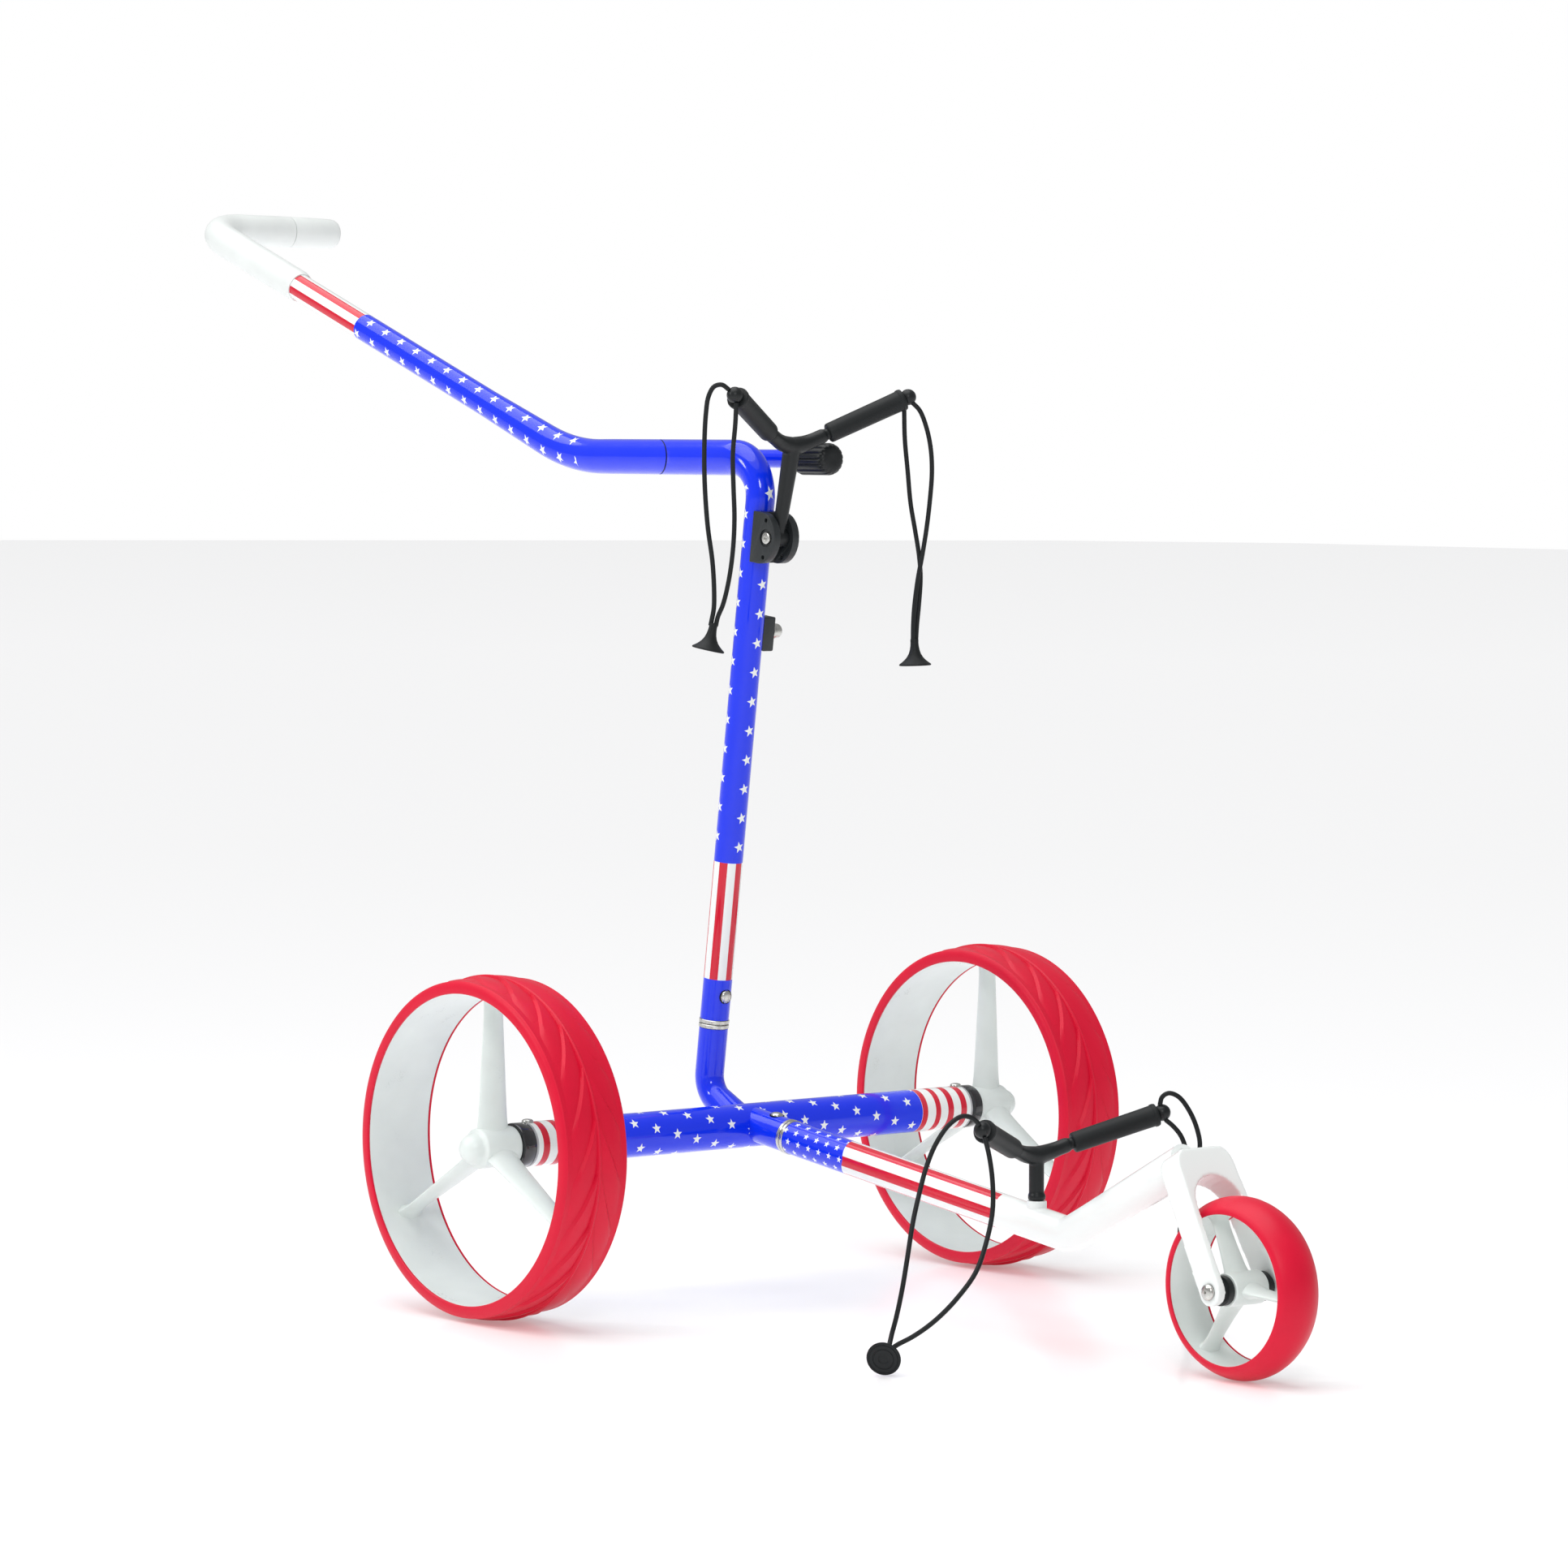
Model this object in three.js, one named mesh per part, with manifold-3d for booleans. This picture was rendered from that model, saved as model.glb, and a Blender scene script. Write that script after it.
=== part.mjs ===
// A three-wheeled golf push trolley, set up and standing on its wheels, with no bag on it.
// Millimetres, +Z up. It rolls towards -Y, its own right side is -X, and the floor is z = 0.
// The design is laid out from the point on the floor under the main axle; at the end the
// whole group is moved so that the origin is the bottom centre of its bounding box.

import * as THREE from "three";
import { mergeVertices } from "three/addons/utils/BufferGeometryUtils.js";
import Module from "manifold-3d";

// ---------------------------------------------------------------- driving dimensions

const fit = 0.3; // clearance between pieces that touch or slide
const wheelbase = 604.5; // main axle to front axle
const wheelPlane = 280; // mid-plane of each rear wheel from the centre of the trolley

const rear = {
  radius: 145, // over the crown of the tread
  shoulder: 141, // tyre radius at its outer edges
  tyreHalfWidth: 33.5,
  lip: 2.2, // rubber over each edge of the rim
  rimBore: 130.5,
  rimWall: 3,
  dish: 1.5, // how much deeper the drum is in the middle
  hubRadius: 17,
  hubInner: 19.5, // hub face on the trolley side, from the wheel's mid-plane
  hubOuter: 16, // end of the straight barrel on the outer side
  domeRadius: 13,
  bearingRadius: 11,
  boreDepth: 29,
  spokeWidth: 32, // along the axle, at the hub
  spokeDepth: 13, // around the wheel, at the hub
  spokeTaper: 0.6, // size at the rim over size at the hub
  spokeTurn: 90, // degrees from +Y to the first of three spokes
};

const front = {
  radius: 73.15,
  tyreHalfWidth: 21.3,
  lip: 1.8,
  rimBore: 60.3,
  rimWall: 2.6,
  dish: 1,
  hubRadius: 13.5,
  hubHalfWidth: 18,
  bearingRadius: 8.5,
  spokeWidth: 26,
  spokeDepth: 9,
  spokeTaper: 0.65,
  spokeTurn: 64,
};

const axleTube = { radius: 19, wall: 2, halfLength: 247 };
const endRing = { width: 13.2, spigot: 32 };
const shaft = { radius: 5.9, root: 217, reach: 9 }; // reach: past the wheel's mid-plane
const stud = { radius: 5, from: 243, proud: 2.6, foot: 8.6 }; // wheel release studs

const upright = {
  radius: 12.7,
  wall: 1.9,
  ringY: 47.6, // where the upright is plugged on, behind the axle
  ringZ: 230.5,
  lean: 0.1205, // forward run for each unit of rise
  topZ: 724,
  bend: 34,
};
// The level run is thicker. It ends in a slanted joint, which keeps the handle from turning.
const level = { radius: 15.5, wall: 2.2, seamY: 131.2, seamSlant: 1.9 };
const handle = { radius: 12.6, wall: 1.9, slope: 0.376, kneeY: 252.8, kneeBend: 228, thinBy: 0.9 };
const grip = {
  radius: 15.2,
  startY: 672.7,
  height: 942,
  bend: 40,
  capFrom: 99,
  reach: 156,
  round: 6,
  capTaper: 0.9, // how much slimmer the cap is at its end
};
const gasket = { width: 1.3, plugReach: 48 }; // width along the tube
const plug = { length: 62, wall: 1.9 }; // tubular spigots of the plug-in joints
const joinRing = { width: 3.4, split: 0.7, proud: 0.5 }; // pairs of metal collars
const snap = { radius: 5.6, proud: 2.4, foot: 5.6 };

const arm = {
  radius: 14.6,
  wall: 2,
  startZ: 147.8, // height where its line crosses the main axle
  fall: 0.1325,
  ringY: 58,
  kneeY: 407,
  bend: 22,
  endBehind: 63.5, // how far short of the front axle it ends, inside the fork's crown
  endZ: 166.73,
  stubButtonY: 36.5,
};
const fork = {
  lean: 29.5, // degrees of the legs from upright
  legWidth: 23,
  footHalf: 36, // outer face of a leg at the front axle
  crownHalf: 30.2,
  legInner: 28.4,
  archRadius: 25.5,
  archCentre: 68, // along the legs, from the front axle
  topZ: 180,
  topRound: 13,
};
const socket = { y: 367.5, radius: 8.2, top: 118, bore: 5.6 };
const frontAxle = { radius: 5, threadRadius: 2.3, screwDepth: 11 };
const screwHead = { radius: 6.5, height: 3.6 };
const spacer = { radius: 12, inner: 18.4, outer: 28 };

const clevis = {
  z: 657.5,
  height: 44,
  back: 9,
  depth: 30.5,
  pivotAhead: 19,
  pivotZ: 655,
  halfWidth: 14,
  slotHalf: 7,
  slotFrom: 8,
};
const barrel = { radius: 7.5, bore: 3.3 };
const boltHead = { radius: 7.6, height: 2.4, recess: 1.8 };
const catchBlock = { halfDepth: 8, height: 30, from: 9, to: 22.8, z: 572.3 };
const catchStud = { radius: 7.7, flange: 3, height: 11.4, z: 574 };

const yoke = { stem: 6.1, arm: 6.1, pin: 4.6, ball: 7, sleeve: 8.9, sleeveEnd: 8 };
const upperYoke = {
  crotch: [0, -49, 734],
  saddle: [13, -50.6, 736.6],
  shoulder: [28, -55.1, 742.8],
  tip: [95.5, -85.7, 776.1],
};
const lowerYoke = {
  foot: [0, -367.5, 120.4],
  crotch: [0, -366.5, 154.5],
  saddle: [13, -367, 156.8],
  shoulder: [28, -371.3, 161.7],
  tip: [98.5, -407.6, 186.5],
  plugDepth: 26,
};

const clampArm = { radius: 8, x: 44, z: 723.4, fromY: 76, toY: -8, bend: 15, bore: 4.3 };
const knob = { radius: 14, flutes: 16, fluteRadius: 1.6, toY: -53, neck: 9.6, chamfer: 5, stem: 4 };

const cord = { radius: 2, sides: 8, step: 10 };
const cone = { height: 20, base: 14, top: 3.4 };

// The two strands of each elastic loop, from the ball on the yoke to the cone, as chosen by hand.
const cordRoutes = {
  upper_right: {
    outer: [[-101, -84.1, 780.6], [-106, -81, 784.5], [-111, -77, 783], [-114.5, -74, 775],
      [-116, -72.4, 760], [-117, -72, 730], [-116, -72, 699], [-114, -74, 665], [-111, -76.8, 637],
      [-109.8, -78, 614], [-109.8, -78, 597], [-110.8, -76.9, 588], [-111.6, -76.1, 582.2]],
    inner: [[-96.3, -88.5, 769.3], [-97.2, -88.6, 752], [-98.6, -87.4, 726], [-98, -88, 699],
      [-97, -88.5, 672], [-98, -88, 645], [-100.5, -86, 620], [-104, -83, 600], [-107, -80, 589.5],
      [-108.2, -78.9, 581.9]],
    cone: [-110, -77.5, 581],
    axis: [-0.16, 0.14, -1],
  },
  upper_left: {
    outer: [[100.4, -90.3, 772.9], [105.3, -94.6, 766], [110, -98.4, 751], [113, -100.8, 733],
      [114, -101.5, 713], [112.5, -101, 689], [110, -100, 665], [107, -98.5, 643], [104, -96, 620],
      [102, -94.3, 597], [101.5, -93.7, 581], [101.7, -93.4, 567.2]],
    inner: [[95.2, -85.6, 768.6], [96, -86, 742], [98, -88, 714], [100.5, -89.5, 686],
      [104.5, -91.5, 662], [107.8, -93.1, 641], [108.9, -94.2, 622], [107.9, -93.6, 599],
      [106.5, -92.9, 581], [105.9, -92.6, 567.2]],
    cone: [103.8, -93, 566],
    axis: [0.03, -0.03, -1],
  },
  lower_right: {
    outer: [[-103.8, -409.7, 191.4], [-109, -407.4, 196.6], [-117, -403.8, 198.4],
      [-127, -399.6, 192], [-138, -396, 177], [-147, -395, 159], [-155, -397, 142],
      [-167, -402, 117], [-176, -406, 90], [-184, -409, 65], [-189.5, -408.5, 43],
      [-193.2, -407.5, 29.6], [-198.7, -410.9, 22], [-200.2, -412, 21.4]],
    inner: [[-100.1, -412.3, 180.9], [-100.6, -418, 168], [-101, -423, 148], [-105, -428, 124],
      [-115, -432, 100], [-130, -436, 77], [-147, -433, 57.5], [-159, -427, 44], [-169, -421, 34.5],
      [-179, -415, 27], [-189, -409.6, 21.4], [-197.8, -410.1, 17.6], [-199.4, -411.3, 17.1]],
    cone: [-200.3, -412, 19.1],
    axis: [-0.78, -0.58, -0.24],
  },
  lower_left: {
    outer: [[98.8, -408.9, 193.8], [99.6, -410.6, 200.6], [103.5, -414.4, 204], [110, -419.4, 201],
      [117, -424.6, 190], [122.5, -428.6, 175], [125.4, -429.6, 160], [124, -426.5, 145],
      [121, -421.5, 131], [119.4, -419, 116], [119, -418, 97], [119.5, -417.6, 73],
      [119.3, -418.8, 51], [118.7, -420.4, 34.6], [121.5, -420.1, 27.7], [123, -419.9, 26.3]],
    inner: [[102.1, -412.3, 181.9], [106.6, -417.4, 176.4], [111.4, -421.6, 168.4],
      [114.6, -424, 157], [115.2, -423.4, 143], [115, -420.6, 124], [114.8, -418.9, 100],
      [114, -419, 76], [113.9, -420.2, 54], [114.3, -421, 34.8], [118.4, -420.5, 24.4],
      [120.1, -420.2, 22.9]],
    cone: [122, -420, 24.2],
    axis: [0.75, 0.1, -0.65],
  },
};

// ---------------------------------------------------------------- materials

const paint = (color, roughness = 0.25, metalness = 0) =>
  new THREE.MeshStandardMaterial({ color, roughness, metalness });
const finishes = {
  blue: () => paint(0x0a35f0, 0.15, 0.1),
  white: () => paint(0xe2eae6, 0.22),
  red: () => paint(0xf01838, 0.55),
  black: () => paint(0x1b1f20, 0.6),
  blackRubber: () => paint(0x232829, 0.8),
  glossBlack: () => paint(0x0b0c10, 0.12),
  steel: () => paint(0xb9bcb4, 0.25, 1),
  darkSteel: () => paint(0x6d7072, 0.35, 1),
};

// ---------------------------------------------------------------- solids

const wasm = await Module();
wasm.setup();

// A closed three.js geometry as a solid, turned right way out if its profile ran backwards.
function solid(geometry) {
  const bare = geometry.index ? geometry.toNonIndexed() : geometry.clone();
  bare.deleteAttribute("normal");
  bare.deleteAttribute("uv");
  const merged = mergeVertices(bare, 1e-4);
  const points = merged.attributes.position.array;
  const faces = new Uint32Array(merged.index.array);
  const build = () => new wasm.Manifold(
    new wasm.Mesh({ numProp: 3, vertProperties: points, triVerts: faces }));
  const made = build();
  if (made.volume() > 0) return made;
  for (let i = 0; i < faces.length; i += 3) {
    [faces[i + 1], faces[i + 2]] = [faces[i + 2], faces[i + 1]];
  }
  return build();
}

function geometryOf(shape) {
  const mesh = shape.getMesh();
  const geometry = new THREE.BufferGeometry();
  geometry.setAttribute("position", new THREE.BufferAttribute(mesh.vertProperties, 3));
  geometry.setIndex(new THREE.BufferAttribute(mesh.triVerts, 1));
  const flat = geometry.toNonIndexed();
  flat.computeVertexNormals();
  return flat;
}

const vector = (p) => new THREE.Vector3(...p);
const union = (...shapes) => shapes.reduce((all, one) => all.add(one));
const cut = (body, ...tools) => tools.reduce((rest, tool) => rest.subtract(tool), body);

// A profile of [radius, height along the axis] turned about the line from `base` towards `along`.
function turned(profile, base, along, sides = 20, phase = 0) {
  const points = profile.map(([r, h]) => new THREE.Vector2(r, h));
  if (profile[0][0] > 0) points.push(points[0].clone());
  return solid(aimed(new THREE.LatheGeometry(points, sides, phase), base, along));
}

// Moves a geometry made about the +Y axis so that its axis runs from `base` towards `along`.
function aimed(geometry, base, along) {
  const turn = new THREE.Quaternion().setFromUnitVectors(
    new THREE.Vector3(0, 1, 0), vector(along).normalize());
  return geometry.applyQuaternion(turn).translate(...base);
}

function rod(from, to, radius, sides = 16) {
  const [a, b] = [vector(from), vector(to)];
  const length = a.distanceTo(b);
  const middle = a.clone().add(b).multiplyScalar(0.5).toArray();
  const cylinder = new THREE.CylinderGeometry(radius, radius, length, sides);
  return solid(aimed(cylinder, middle, b.sub(a).toArray()));
}

function ringSolid(from, to, outerRadius, innerRadius, sides = 20) {
  const length = vector(from).distanceTo(vector(to));
  const along = vector(to).sub(vector(from)).toArray();
  const profile = [[innerRadius, 0], [outerRadius, 0], [outerRadius, length], [innerRadius, length]];
  return turned(profile, from, along, sides);
}

function ball(centre, radius, sides = 10) {
  return solid(new THREE.SphereGeometry(radius, sides, sides / 2).translate(...centre));
}

// Straight runs joined by round bends. Each step of a sweep lands on one of its stations.
class TubePath extends THREE.Curve {
  constructor(corners, bends, stepsPerBend = 6) {
    super();
    const points = corners.map(vector);
    this.stations = [points[0]];
    for (let i = 1; i < points.length - 1; i += 1) {
      const back = points[i - 1].clone().sub(points[i]).normalize();
      const ahead = points[i + 1].clone().sub(points[i]).normalize();
      const half = back.angleTo(ahead) / 2;
      const middle = back.clone().add(ahead).normalize();
      const centre = points[i].clone().addScaledVector(middle, bends[i - 1] / Math.sin(half));
      const from = points[i].clone().addScaledVector(back, bends[i - 1] / Math.tan(half)).sub(centre);
      const axis = new THREE.Vector3().crossVectors(ahead, back).normalize();
      for (let k = 0; k <= stepsPerBend; k += 1) {
        const turn = (Math.PI - 2 * half) * (k / stepsPerBend);
        this.stations.push(from.clone().applyAxisAngle(axis, turn).add(centre));
      }
    }
    this.stations.push(points.at(-1));
    this.steps = this.stations.length - 1;
  }

  getPoint(t) {
    const place = Math.min(t * this.steps, this.steps - 1e-9);
    const i = Math.floor(place);
    return this.stations[i].clone().lerp(this.stations[i + 1], place - i);
  }

  getPointAt(u) {
    return this.getPoint(u);
  }

  getTangentAt(u) {
    const i = Math.round(u * this.steps);
    const before = this.stations[Math.max(i - 1, 0)];
    const here = this.stations[i];
    const after = this.stations[Math.min(i + 1, this.steps)];
    const into = here.clone().sub(before).normalize();
    const out = after.clone().sub(here).normalize();
    return into.add(out).normalize();
  }

  getTangent(t) {
    return this.getTangentAt(t);
  }

  getSpacedPoints() {
    return this.stations.map((p) => p.clone());
  }
}

function circle(radius, sides) {
  const shape = new THREE.Shape();
  for (let i = 0; i < sides; i += 1) {
    const turn = (2 * Math.PI * i) / sides;
    const place = [radius * Math.cos(turn), radius * Math.sin(turn)];
    if (i === 0) shape.moveTo(...place);
    else shape.lineTo(...place);
  }
  shape.closePath();
  return shape;
}

// `radius` is one number, or a function of how far along the path's steps a ring is, from 0 to 1.
function swept(path, radius, sides = 16, steps = path.steps) {
  const radiusAt = typeof radius === "function" ? radius : () => radius;
  const tube = new THREE.ExtrudeGeometry(circle(1, sides), { steps, extrudePath: path });
  const rings = path.getSpacedPoints(steps);
  const places = tube.attributes.position;
  const point = new THREE.Vector3();
  for (let i = 0; i < places.count; i += 1) {
    point.fromBufferAttribute(places, i);
    const gaps = rings.map((ring) => Math.abs(ring.distanceTo(point) - 1));
    const nearest = gaps.indexOf(Math.min(...gaps));
    point.sub(rings[nearest]).multiplyScalar(radiusAt(nearest / steps)).add(rings[nearest]);
    places.setXYZ(i, ...point.toArray());
  }
  return solid(tube);
}

// A hollow tube: the bore runs a little past both ends so that they are open.
function pipe(corners, bends, radius, wall, sides = 16, stepsPerBend = 6) {
  const past = 1;
  const ends = corners.map(vector);
  ends[0].addScaledVector(ends[0].clone().sub(ends[1]).normalize(), past);
  const last = ends.length - 1;
  ends[last].addScaledVector(ends[last].clone().sub(ends[last - 1]).normalize(), past);
  const outside = swept(new TubePath(corners, bends, stepsPerBend), radius, sides);
  const bore = new TubePath(ends.map((p) => p.toArray()), bends, stepsPerBend);
  return outside.subtract(swept(bore, radius - wall, sides));
}

function smooth(points, radius, sides, steps) {
  const curve = new THREE.CatmullRomCurve3(points.map(vector));
  return swept(curve, radius, sides, steps);
}

// An outline in the (y, z) plane, pushed out along x from -half to +half.
function sideProfile(outline, half) {
  const shape = new THREE.Shape(outline.map(([y, z]) => new THREE.Vector2(y, z)));
  const slab = new THREE.ExtrudeGeometry(shape, { depth: 2 * half, bevelEnabled: false });
  return solid(slab.translate(0, 0, -half).rotateY(Math.PI / 2).rotateX(Math.PI / 2));
}

function block(min, max) {
  const size = max.map((v, i) => v - min[i]);
  const middle = max.map((v, i) => (v + min[i]) / 2);
  return solid(new THREE.BoxGeometry(...size).translate(...middle));
}

function arc(centreA, centreB, radius, from, to, steps) {
  return Array.from({ length: steps + 1 }, (_, k) => {
    const turn = THREE.MathUtils.degToRad(from + ((to - from) * k) / steps);
    return [centreA + radius * Math.cos(turn), centreB + radius * Math.sin(turn)];
  });
}

// ---------------------------------------------------------------- the trolley

const trolley = new THREE.Group();
trolley.name = "golf_push_trolley";

function add(name, shape, finish, position = [0, 0, 0], turnZ = 0) {
  const mesh = new THREE.Mesh(geometryOf(shape), finishes[finish]());
  mesh.name = name;
  mesh.position.set(...position);
  mesh.rotation.z = turnZ;
  trolley.add(mesh);
}

const sides = [["right", -1], ["left", 1]];

// ---- wheels: built about the X axis, with the outer face of a rear wheel towards +X

function spokes(wheel, from, to) {
  const length = to - from;
  return [0, 120, 240].map((turn) => {
    const spoke = new THREE.CylinderGeometry(wheel.spokeTaper, 1, length, 10);
    spoke.scale(wheel.spokeWidth / 2, 1, wheel.spokeDepth / 2);
    spoke.translate(0, from + length / 2, 0);
    return solid(spoke.rotateX(THREE.MathUtils.degToRad(wheel.spokeTurn + turn)));
  });
}

function drum(wheel, rimHalf, roundSides) {
  const outer = wheel.rimBore + wheel.rimWall;
  const profile = [
    [wheel.rimBore, -rimHalf], [outer, -rimHalf], [outer, rimHalf], [wheel.rimBore, rimHalf],
    [wheel.rimBore + wheel.dish, rimHalf * 0.35], [wheel.rimBore + wheel.dish, -rimHalf * 0.35],
  ];
  return turned(profile, [0, 0, 0], [1, 0, 0], roundSides, Math.PI / roundSides);
}

const rimHalfOf = (wheel) => wheel.tyreHalfWidth - wheel.lip - fit;

function rearRim() {
  const domeCentre = rear.hubOuter + 2;
  const dome = arc(domeCentre, 0, rear.domeRadius, 70, 0, 6).map(([along, r]) => [r, along]);
  const boreEnd = rear.boreDepth - rear.hubInner;
  const hub = turned([
    [0, boreEnd], [rear.bearingRadius + fit, boreEnd], [rear.bearingRadius + fit, -rear.hubInner],
    [rear.hubRadius - 1, -rear.hubInner], [rear.hubRadius, -rear.hubInner + 1],
    [rear.hubRadius, rear.hubOuter], ...dome,
  ], [0, 0, 0], [1, 0, 0]);
  const bore = rod([-rear.hubInner - 1, 0, 0], [boreEnd, 0, 0], rear.bearingRadius + fit, 20);
  const [one, two, three] = spokes(rear, 8, rear.rimBore + rear.dish + 0.2);
  return cut(union(drum(rear, rimHalfOf(rear), 44), hub, one, two, three), bore);
}

// The tread stands on the flats of its facets, which touch the true radius.
function tyre(wheel, roundSides, crown) {
  const inner = (wheel.rimBore + wheel.rimWall + fit) / Math.cos(Math.PI / roundSides);
  const seat = rimHalfOf(wheel) + fit;
  const tread = crown.map(([r, along]) => [r / Math.cos(Math.PI / roundSides), along]);
  const profile = [
    [wheel.rimBore, -seat], [wheel.rimBore, -wheel.tyreHalfWidth],
    ...tread,
    [wheel.rimBore, wheel.tyreHalfWidth], [wheel.rimBore, seat], [inner, seat], [inner, -seat],
  ];
  return turned(profile, [0, 0, 0], [1, 0, 0], roundSides, Math.PI / roundSides);
}

const rearCrown = [
  [rear.shoulder - 1.5, -rear.tyreHalfWidth], [rear.shoulder, -rear.tyreHalfWidth + 1.5],
  [rear.radius, -2], [rear.radius, 2],
  [rear.shoulder, rear.tyreHalfWidth - 1.5], [rear.shoulder - 1.5, rear.tyreHalfWidth],
];
const frontCrown = [
  [front.rimBore + 4, -front.tyreHalfWidth], [front.radius - 3.4, -front.tyreHalfWidth * 0.55],
  [front.radius, -front.tyreHalfWidth * 0.12], [front.radius, front.tyreHalfWidth * 0.12],
  [front.radius - 3.4, front.tyreHalfWidth * 0.55], [front.rimBore + 4, front.tyreHalfWidth],
];

const bearing = (from, to, radius, bore) => ringSolid([from, 0, 0], [to, 0, 0], radius, bore);

for (const [side, sign] of sides) {
  const place = [sign * wheelPlane, 0, rear.radius];
  const turn = sign > 0 ? 0 : Math.PI;
  add(`rear_rim_${side}`, rearRim(), "white", place, turn);
  add(`rear_tyre_${side}`, tyre(rear, 44, rearCrown), "red", place, turn);
  add(`rear_bearing_${side}`, bearing(-rear.hubInner + 0.5, rear.boreDepth - rear.hubInner - fit,
    rear.bearingRadius, shaft.radius + fit), "steel", place, turn);
}

// ---- main axle tube with its two welded stubs

const uprightDirection = vector([0, -upright.lean, 1]).normalize();
const armDirection = vector([0, -1, -arm.fall]).normalize();
const armNormal = vector([0, -arm.fall, 1]).normalize();
const uprightRing = vector([0, upright.ringY, upright.ringZ]);
const armRing = vector([0, -arm.ringY, arm.startZ - arm.fall * arm.ringY]);
const onUpright = (s) => uprightRing.clone().addScaledVector(uprightDirection, s).toArray();
const onArm = (s) => armRing.clone().addScaledVector(armDirection, s).toArray();
const uprightAxisY = (z) => upright.ringY - upright.lean * (z - upright.ringZ);
const ringHalf = joinRing.width + joinRing.split / 2; // half of a pair of collars

const stubStart = [0, 12, rear.radius + 4.5];
const stubKnee = [0, uprightAxisY(180), 180];
const stubEnd = onUpright(-ringHalf - fit);
const armStubEnd = onArm(-ringHalf - fit);
const armRoot = [0, 0, arm.startZ];
const buttonHole = (centre, direction, reach) =>
  rod(centre, centre.map((v, i) => v + direction[i] * reach), snap.radius + fit, 12);
const armButton = onArm(-(arm.ringY - arm.stubButtonY));
const uprightButtonUp = 25.5; // height of the upright's snap button above its collars
const uprightButton = onUpright(uprightButtonUp);
const forward = [0, -1, -upright.lean];

const axleBar = rod([-axleTube.halfLength, 0, rear.radius], [axleTube.halfLength, 0, rear.radius],
  axleTube.radius, 24);
const axleBore = rod([-axleTube.halfLength - 1, 0, rear.radius],
  [axleTube.halfLength + 1, 0, rear.radius], axleTube.radius - axleTube.wall, 24);
const stubPath = new TubePath([stubStart, stubKnee, stubEnd], [24], 4);
const stubBore = new TubePath([stubStart, stubKnee, onUpright(2)], [24], 4);
const studHole = (sign) => rod([sign * stud.from, 0, rear.radius + shaft.radius],
  [sign * stud.from, 0, rear.radius + axleTube.radius + 2], stud.radius + fit, 12);

add("axle_tube", cut(
  union(axleBar, swept(stubPath, upright.radius), rod(armRoot, armStubEnd, arm.radius, 20)),
  axleBore,
  swept(stubBore, upright.radius - upright.wall),
  rod(armRoot, onArm(2), arm.radius - arm.wall, 20),
  buttonHole(armButton, armNormal.toArray(), 30),
  studHole(-1),
  studHole(1),
), "blue");

for (const [side, sign] of sides) {
  const at = (x) => [sign * x, 0, rear.radius];
  const tubeEnd = axleTube.halfLength;
  const spigotRadius = axleTube.radius - axleTube.wall - fit;
  const ring = cut(
    union(rod(at(tubeEnd + fit), at(tubeEnd + endRing.width), axleTube.radius, 24),
      rod(at(tubeEnd - endRing.spigot), at(tubeEnd + 1), spigotRadius, 24)),
    rod(at(tubeEnd - endRing.spigot - 1), at(tubeEnd + endRing.width + 1), shaft.radius + fit),
    studHole(sign),
  );
  add(`end_ring_${side}`, ring, "glossBlack");
  const chamfer = 1.2;
  const length = wheelPlane + shaft.reach - shaft.root;
  add(`axle_shaft_${side}`, turned([
    [0, 0], [shaft.radius, 0], [shaft.radius, length - chamfer], [shaft.radius - chamfer, length],
    [0, length],
  ], at(shaft.root), [sign, 0, 0], 16), "darkSteel");
  const top = rear.radius + axleTube.radius + stud.proud;
  const foot = rear.radius + stud.foot;
  add(`release_stud_${side}`, turned([
    [0, 0], [stud.radius, 0], [stud.radius, top - foot - 2], [stud.radius * 0.75, top - foot - 0.6],
    [stud.radius * 0.4, top - foot - 0.1], [0, top - foot],
  ], [sign * stud.from, 0, foot], [0, 0, 1], 12), "steel");
}

// ---- plug-in joints: a tubular plug with a collar round it, a second collar and a snap button

function plugTube(onAxis, from, radius, flangeFrom, tubeRadius, holeCentre, holeDirection) {
  const body = rod(onAxis(from), onAxis(from + plug.length), radius, 20);
  const flange = rod(onAxis(flangeFrom), onAxis(flangeFrom + joinRing.width),
    tubeRadius + joinRing.proud, 20);
  const bore = rod(onAxis(from - 1), onAxis(from + plug.length + 1), radius - plug.wall, 20);
  return cut(union(body, flange), bore, buttonHole(holeCentre, holeDirection, 20));
}

function snapButton(centre, direction, tubeRadius) {
  const height = tubeRadius + snap.proud - snap.foot;
  const base = centre.map((v, i) => v + direction[i] * snap.foot);
  return turned([
    [0, 0], [snap.radius, 0], [snap.radius, height - 2.6], [snap.radius * 0.8, height - 1],
    [snap.radius * 0.45, height - 0.2], [0, height],
  ], base, direction, 12);
}

function collar(onAxis, from, tubeRadius, boreRadius) {
  return ringSolid(onAxis(from), onAxis(from + joinRing.width), tubeRadius + joinRing.proud,
    boreRadius);
}

const uprightPlugRadius = upright.radius - upright.wall - fit;
const armPlugRadius = arm.radius - arm.wall - fit;
const forwardUnit = vector(forward).normalize().toArray();
const upUnit = armNormal.toArray();

add("upright_plug", plugTube(onUpright, -24, uprightPlugRadius, -ringHalf, upright.radius,
  uprightButton, forwardUnit), "steel");
add("upright_collar", collar(onUpright, joinRing.split / 2, upright.radius, uprightPlugRadius + fit),
  "steel");
add("upright_snap_button", snapButton(uprightButton, forwardUnit, upright.radius), "steel");

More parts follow.
